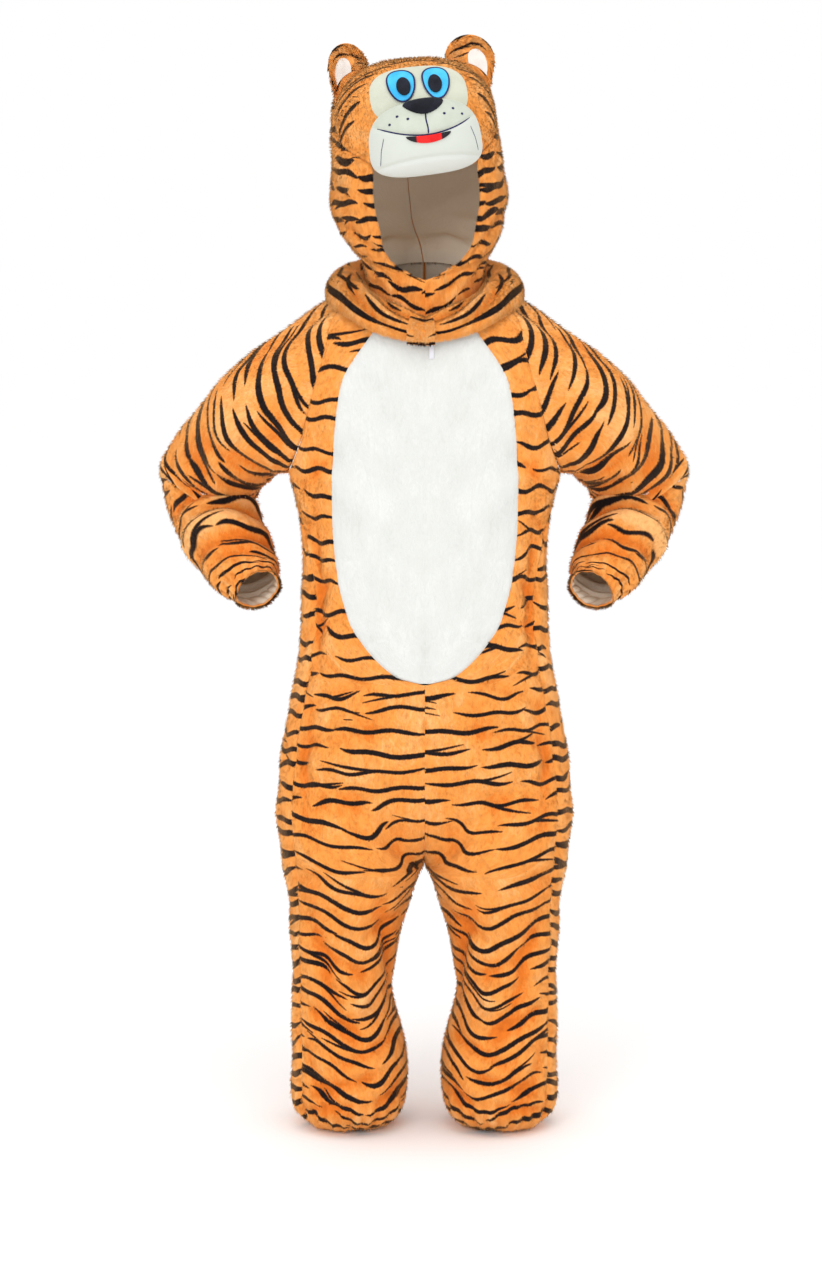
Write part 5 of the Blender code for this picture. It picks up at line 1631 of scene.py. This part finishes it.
def make_zip_end(tape):
    rows = np.linspace(*BODY.row_at("height", np.array([ZIP_TOP, ZIP_LOW])), 12)[:, None]
    x = np.linspace(ZIP_X - ZIP_WIDTH / 2, ZIP_X + ZIP_WIDTH / 2, 9)
    turn = np.arcsin((x / BODY("half_width", rows)) ** (BODY("square", rows) / 2)) / math.pi
    grid = body_point(rows, turn)
    normal = unit(face_normals(grid))
    teeth = 0.35 * MM * np.maximum(np.cos(np.linspace(0, 18 * math.pi, 12)), 0)[:, None]
    teeth = teeth * (np.abs(x - ZIP_X) < 1 * MM)
    grid = grid + normal * (LAP + 1.0 * MM + teeth)[..., None]
    made = add_mesh(
        "zip_tape_end",
        np.concatenate([grid.reshape(-1, 3), (grid - normal * 0.9 * MM).reshape(-1, 3)]),
        shell_faces(*grid.shape[:2]), tape,
    )
    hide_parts("zip_end")


def linked(tree, kind, settings=(), **inputs):
    """A node with these settings, and its inputs set or linked by name."""
    made = tree.nodes.new(kind)
    for name, value in settings:
        setattr(made, name, value)
    for name, value in inputs.items():
        key = int(name[1:]) if name[0] == "_" and name[1:].isdigit() else name.replace("_", " ")
        socket = made.inputs[key]
        if isinstance(value, bpy.types.NodeSocket):
            tree.links.new(value, socket)
        else:
            socket.default_value = value
    return made


def maths(tree, way, a, b=0.0, c=0.0):
    return linked(tree, "ShaderNodeMath", [("operation", way)], _0=a, _1=b, _2=c).outputs[0]


def ranged(tree, value, low, high, to_low=0.0, to_high=1.0):
    made = linked(tree, "ShaderNodeMapRange", [("interpolation_type", "SMOOTHSTEP")], Value=value)
    for name, number in (("From Min", low), ("From Max", high), ("To Min", to_low), ("To Max", to_high)):
        made.inputs[name].default_value = number
    return made.outputs["Result"]


def mixed(tree, share, a, b):
    made = linked(tree, "ShaderNodeMix", [("data_type", "RGBA")])
    for socket, value in ((made.inputs[0], share), (made.inputs[6], a), (made.inputs[7], b)):
        if isinstance(value, bpy.types.NodeSocket):
            tree.links.new(value, socket)
        else:
            socket.default_value = value
    return made.outputs[2]


def noise(tree, vector, scale, detail=2.0, roughness=0.5, distortion=0.0):
    made = linked(
        tree, "ShaderNodeTexNoise", Vector=vector, Scale=scale, Detail=detail, Roughness=roughness,
        Distortion=distortion,
    )
    return made.outputs["Fac"]


def stretched_by(tree, vector, x, y, z):
    return linked(tree, "ShaderNodeMapping", Vector=vector, Scale=(x, y, z)).outputs[0]


def kept(tree, name):
    return linked(tree, "ShaderNodeAttribute", [("attribute_name", name)])


def colour(r, g, b):
    """A colour given as it looks on a screen, from 0 to 255."""
    return (*[((v / 255 + 0.055) / 1.055) ** 2.4 if v > 10 else v / 255 / 12.92 for v in (r, g, b)], 1.0)


def new_group(name, inputs, outputs):
    group = bpy.data.node_groups.new(name, "ShaderNodeTree")
    for socket_name, kind, value in inputs:
        socket = group.interface.new_socket(name=socket_name, in_out="INPUT", socket_type=kind)
        if value is not None:
            socket.default_value = value
    for socket_name, kind in outputs:
        group.interface.new_socket(name=socket_name, in_out="OUTPUT", socket_type=kind)
    return group, group.nodes.new("NodeGroupInput"), group.nodes.new("NodeGroupOutput")


def pile_group():
    """Short pile: how the nap shades from place to place, its fine strands, and its height for a bump."""
    group, given, out = new_group(
        "Pile",
        [("Nap", "NodeSocketVector", None), ("Clump", "NodeSocketFloat", 1.0)],
        [("Shade", "NodeSocketFloat"), ("Strands", "NodeSocketFloat"), ("Height", "NodeSocketFloat")],
    )
    nap = given.outputs["Nap"]
    broad = noise(group, stretched_by(group, nap, 1.0, 0.6, 1.0), 26.0, 3.0, 0.55, 0.6)
    clump = noise(group, stretched_by(group, nap, 1.0, 0.45, 1.0), 170.0, 3.0, 0.6, 1.2)
    strand = noise(group, stretched_by(group, nap, 1.0, 0.28, 1.0), 900.0, 2.0, 0.6, 0.4)
    shade = maths(group, "ADD", maths(group, "MULTIPLY", broad, 0.55), maths(group, "MULTIPLY", clump, 0.45))
    clumps = maths(group, "MULTIPLY", clump, given.outputs["Clump"])
    height = maths(group, "ADD", clumps, maths(group, "MULTIPLY", strand, 0.35))
    for name, value in (("Shade", shade), ("Strands", strand), ("Height", height)):
        group.links.new(value, out.inputs[name])
    return group


def fleece_group():
    """Smooth knitted fleece: a very fine bloom and a slight unevenness."""
    group, given, out = new_group(
        "Fleece",
        [("Place", "NodeSocketVector", None), ("Size", "NodeSocketFloat", 1.0)],
        [("Shade", "NodeSocketFloat"), ("Height", "NodeSocketFloat")],
    )
    place, size = given.outputs["Place"], given.outputs["Size"]
    fine = noise(group, place, maths(group, "MULTIPLY", size, 1300.0), 3.0, 0.6)
    broad = noise(group, place, maths(group, "MULTIPLY", size, 60.0), 2.0, 0.5)
    shade = maths(group, "ADD", maths(group, "MULTIPLY", fine, 0.4), maths(group, "MULTIPLY", broad, 0.6))
    group.links.new(shade, out.inputs["Shade"])
    group.links.new(fine, out.inputs["Height"])
    return group


def new_material(name, roughness, sheen, tint):
    made = bpy.data.materials.new(name)
    made.use_nodes = True
    surface = made.node_tree.nodes["Principled BSDF"]
    surface.inputs["Roughness"].default_value = roughness
    surface.inputs["Specular IOR Level"].default_value = 0.18
    surface.inputs["Sheen Weight"].default_value = sheen
    surface.inputs["Sheen Roughness"].default_value = 0.45
    surface.inputs["Sheen Tint"].default_value = tint
    return made, made.node_tree, surface


def bumped(tree, surface, height, distance, strength):
    made = linked(tree, "ShaderNodeBump", Strength=strength, Distance=distance, Height=height)
    tree.links.new(made.outputs["Normal"], surface.inputs["Normal"])


def plush(name, deep, mid, tip, backing, pile, striped, clump=1.0, sheen=0.4):
    made, tree, surface = new_material(name, 0.92, sheen, tip)
    nap = kept(tree, "nap").outputs["Vector"]
    group = linked(tree, "ShaderNodeGroup", [("node_tree", pile)], Nap=nap, Clump=clump)
    # Painted shade and highlight: the fold attribute darkens the colour in creases and lightens it on ridges,
    # on top of the random tone of the nap.
    fold = kept(tree, "fold").outputs["Fac"]
    light = maths(tree, "MULTIPLY_ADD", fold, 0.24, group.outputs["Shade"])
    # Painted highlight: the tips of the tufts are made lighter.
    light = maths(tree, "MULTIPLY_ADD", kept(tree, "tip").outputs["Fac"], 0.07, light)
    light = maths(tree, "MULTIPLY_ADD", kept(tree, "tint").outputs["Fac"], 0.03, light)
    # The colour runs from deep to mid to tip with this tone: deep is painted shade in creases and tip painted
    # highlight on ridges and tuft tips, besides the random tone of the nap.
    base = mixed(tree, ranged(tree, light, 0.22, 0.47), deep, mid)
    base = mixed(tree, ranged(tree, light, 0.45, 0.72), base, tip)
    base = mixed(tree, ranged(tree, group.outputs["Strands"], 0.62, 0.30, 0.0, 0.22), base, deep)
    if striped:
        ragged = noise(tree, stretched_by(tree, nap, 1.0, 0.35, 1.0), 700.0, 3.0, 0.65)
        depth = None
        for layer in PRINT_LAYERS:
            apart = linked(tree, "ShaderNodeSeparateXYZ", Vector=kept(tree, layer).outputs["Vector"])
            inside = maths(tree, "SUBTRACT", apart.outputs["Y"], maths(tree, "ABSOLUTE", apart.outputs["X"]))
            depth = inside if depth is None else maths(tree, "MAXIMUM", depth, inside)
        depth = maths(tree, "MULTIPLY_ADD", maths(tree, "SUBTRACT", ragged, 0.5), 0.0024, depth)
        brown = ranged(tree, depth, -0.0010, 0.0002)
        black = ranged(tree, depth, -0.0005, 0.0006)
        base = mixed(tree, maths(tree, "MULTIPLY", brown, 0.6), base, colour(140, 76, 32))
        strands = ranged(tree, group.outputs["Strands"], 0.45, 0.75)
        worn_black = mixed(tree, strands, colour(13, 11, 15), colour(38, 28, 27))
        base = mixed(tree, black, base, worn_black)
    inside = kept(tree, "inside").outputs["Fac"]
    base = mixed(tree, inside, base, backing)
    tree.links.new(base, surface.inputs["Base Color"])
    bumped(tree, surface, group.outputs["Height"], 1.6 * MM, 0.55)
    return made


def felt(name, fleece, dark, light, height=0.25, roughness=0.8, sheen=0.2, size=1.0):
    made, tree, surface = new_material(name, roughness, sheen, light)
    where = linked(tree, "ShaderNodeTexCoord").outputs["Object"]
    group = linked(tree, "ShaderNodeGroup", [("node_tree", fleece)], Place=where, Size=size)
    base = mixed(tree, ranged(tree, group.outputs["Shade"], 0.35, 0.65), dark, light)
    tree.links.new(base, surface.inputs["Base Color"])
    bumped(tree, surface, group.outputs["Height"], height * MM, 0.5)
    return made, tree, surface, base


def make_materials():
    pile, fleece = pile_group(), fleece_group()
    made = {
        # Each plush goes from a deep to a mid to a tip colour: deep is also painted shade in creases, and tip
        # also painted highlight on ridges and tuft tips.
        "tiger_plush": plush(
            "tiger_plush", colour(229, 122, 38), colour(237, 153, 72), colour(245, 184, 116),
            colour(246, 230, 210), pile, True,
        ),
        "cream_plush": plush(
            "cream_plush", colour(200, 201, 196), colour(211, 212, 208), colour(220, 221, 218),
            colour(222, 219, 210), pile, False, clump=0.8, sheen=0.25,
        ),
        "brow_felt": felt(
            "brow_felt", fleece, colour(193, 196, 178), colour(203, 205, 188), 0.3, 0.85, 0.3
        )[0],
        "ear_lining": felt("ear_lining", fleece, colour(214, 208, 202), colour(228, 223, 217))[0],
        "blue_felt": felt("blue_felt", fleece, colour(52, 168, 228), colour(78, 194, 246), 0.2, 0.55)[0],
        "black_felt": felt("black_felt", fleece, colour(10, 11, 20), colour(34, 36, 48), 0.35, 0.7, 0.35)[0],
        "navy_thread": felt("navy_thread", fleece, colour(26, 26, 66), colour(44, 44, 92), 0.2, 0.5)[0],
        "zip_tape": felt("zip_tape", fleece, colour(208, 208, 216), colour(224, 224, 232), 0.2, 0.5)[0],
    }
    made["cream_felt"] = muzzle_felt(fleece)
    made["mouth_felt"] = mouth_felt(fleece)
    return made


def muzzle_felt(fleece):
    """Cream felt, paler below the mouth's line, and paler still below the seam under it, where the underside
    that faces down and out is painted lighter as a highlight.
    """
    made, tree, surface, base = felt(
        "cream_felt", fleece, colour(186, 192, 178), colour(195, 200, 187), 0.3, 0.85, 0.3
    )
    flat = linked(tree, "ShaderNodeSeparateXYZ", Vector=kept(tree, "face").outputs["Vector"])
    across, up = flat.outputs["X"], flat.outputs["Z"]
    squared = maths(tree, "MULTIPLY", across, across)
    smile = maths(tree, "ADD", maths(tree, "MULTIPLY", squared, SMILE_BEND), SMILE_HEIGHT)
    seam = maths(tree, "SUBTRACT", LIP_SEAM_HEIGHT, maths(tree, "MULTIPLY", squared, LIP_SEAM_BEND))
    # The band below the mouth's line is paler felt; the band below the seam is also a painted highlight on
    # the underside.
    for line, paler in ((smile, colour(201, 205, 197)), (seam, colour(207, 210, 204))):
        below = ranged(tree, maths(tree, "SUBTRACT", line, up), -0.4 * MM, 0.4 * MM)
        base = mixed(tree, below, base, paler)
    tree.links.new(base, surface.inputs["Base Color"])
    return made


def mouth_felt(fleece):
    """Red felt with black corners."""
    made, tree, surface, base = felt(
        "mouth_felt", fleece, colour(206, 20, 24), colour(232, 44, 40), 0.2, 0.6
    )
    across = linked(tree, "ShaderNodeSeparateXYZ", Vector=kept(tree, "face").outputs["Vector"]).outputs["X"]
    corner = ranged(tree, maths(tree, "ABSOLUTE", across), 12.2 * MM, 13.4 * MM)
    tree.links.new(mixed(tree, corner, base, colour(30, 30, 36)), surface.inputs["Base Color"])
    return made


FLOOR = -923.5 * MM
PAPER_SIZE = 60
LIGHTS_AIM = (0.0, 0.0, -0.5)
CAMERA_PLACE = (-0.015, -3.0, 0.0)
CAMERA_TILT = math.radians(7.05)  # how far the camera looks down
CAMERA_LENS = 77  # millimetres, on a frame 36 wide


def make_floor():
    bpy.ops.mesh.primitive_plane_add(size=PAPER_SIZE, location=(0, 0, FLOOR))
    floor = bpy.context.object
    floor.name = "floor"
    paper = bpy.data.materials.new("floor_paper")
    paper.use_nodes = True
    surface = paper.node_tree.nodes["Principled BSDF"]
    surface.inputs["Base Color"].default_value = (1.0, 1.0, 1.0, 1)
    surface.inputs["Roughness"].default_value = 1.0
    surface.inputs["Specular IOR Level"].default_value = 0.0
    floor.data.materials.append(paper)


def make_lights():
    world = bpy.data.worlds.new("studio")
    world.use_nodes = True
    world.node_tree.nodes["Background"].inputs["Color"].default_value = (1.0, 1.0, 1.0, 1)
    world.node_tree.nodes["Background"].inputs["Strength"].default_value = 1.0
    bpy.context.scene.world = world
    for name, place, size, watts in (
        ("key", (-1.5, -3.3, 0.9), 1.4, 27),
        ("fill", (1.9, -2.9, -0.9), 2.0, 17),
        ("top", (0.2, -1.3, 2.4), 2.0, 20),
    ):
        lamp = bpy.data.lights.new(name, "AREA")
        lamp.size = size
        lamp.energy = watts
        light = bpy.data.objects.new(name, lamp)
        light.location = place
        aim = np.array(LIGHTS_AIM) - np.array(place)
        light.rotation_euler = Vector(aim).to_track_quat("-Z", "Y").to_euler()
        bpy.context.scene.collection.objects.link(light)


def make_camera():
    lens = bpy.data.cameras.new("camera")
    lens.lens, lens.sensor_width = CAMERA_LENS, 36
    camera = bpy.data.objects.new("camera", lens)
    camera.location = CAMERA_PLACE
    camera.rotation_euler = (math.pi / 2 - CAMERA_TILT, 0, 0)
    bpy.context.scene.collection.objects.link(camera)
    bpy.context.scene.camera = camera
    bpy.context.scene.view_settings.view_transform = "Standard"

materials = make_materials()
strokes_of = [make_strokes(0), make_strokes(1)]
make_suit(materials["tiger_plush"], materials["cream_plush"])
make_sleeves(materials["tiger_plush"])
make_hood(materials["tiger_plush"])
make_collar(materials["tiger_plush"])
make_ears(materials["tiger_plush"], materials["ear_lining"])
make_face(materials)
make_tab(materials["tiger_plush"])
make_zip_end(materials["zip_tape"])
make_floor()
make_lights()
make_camera()
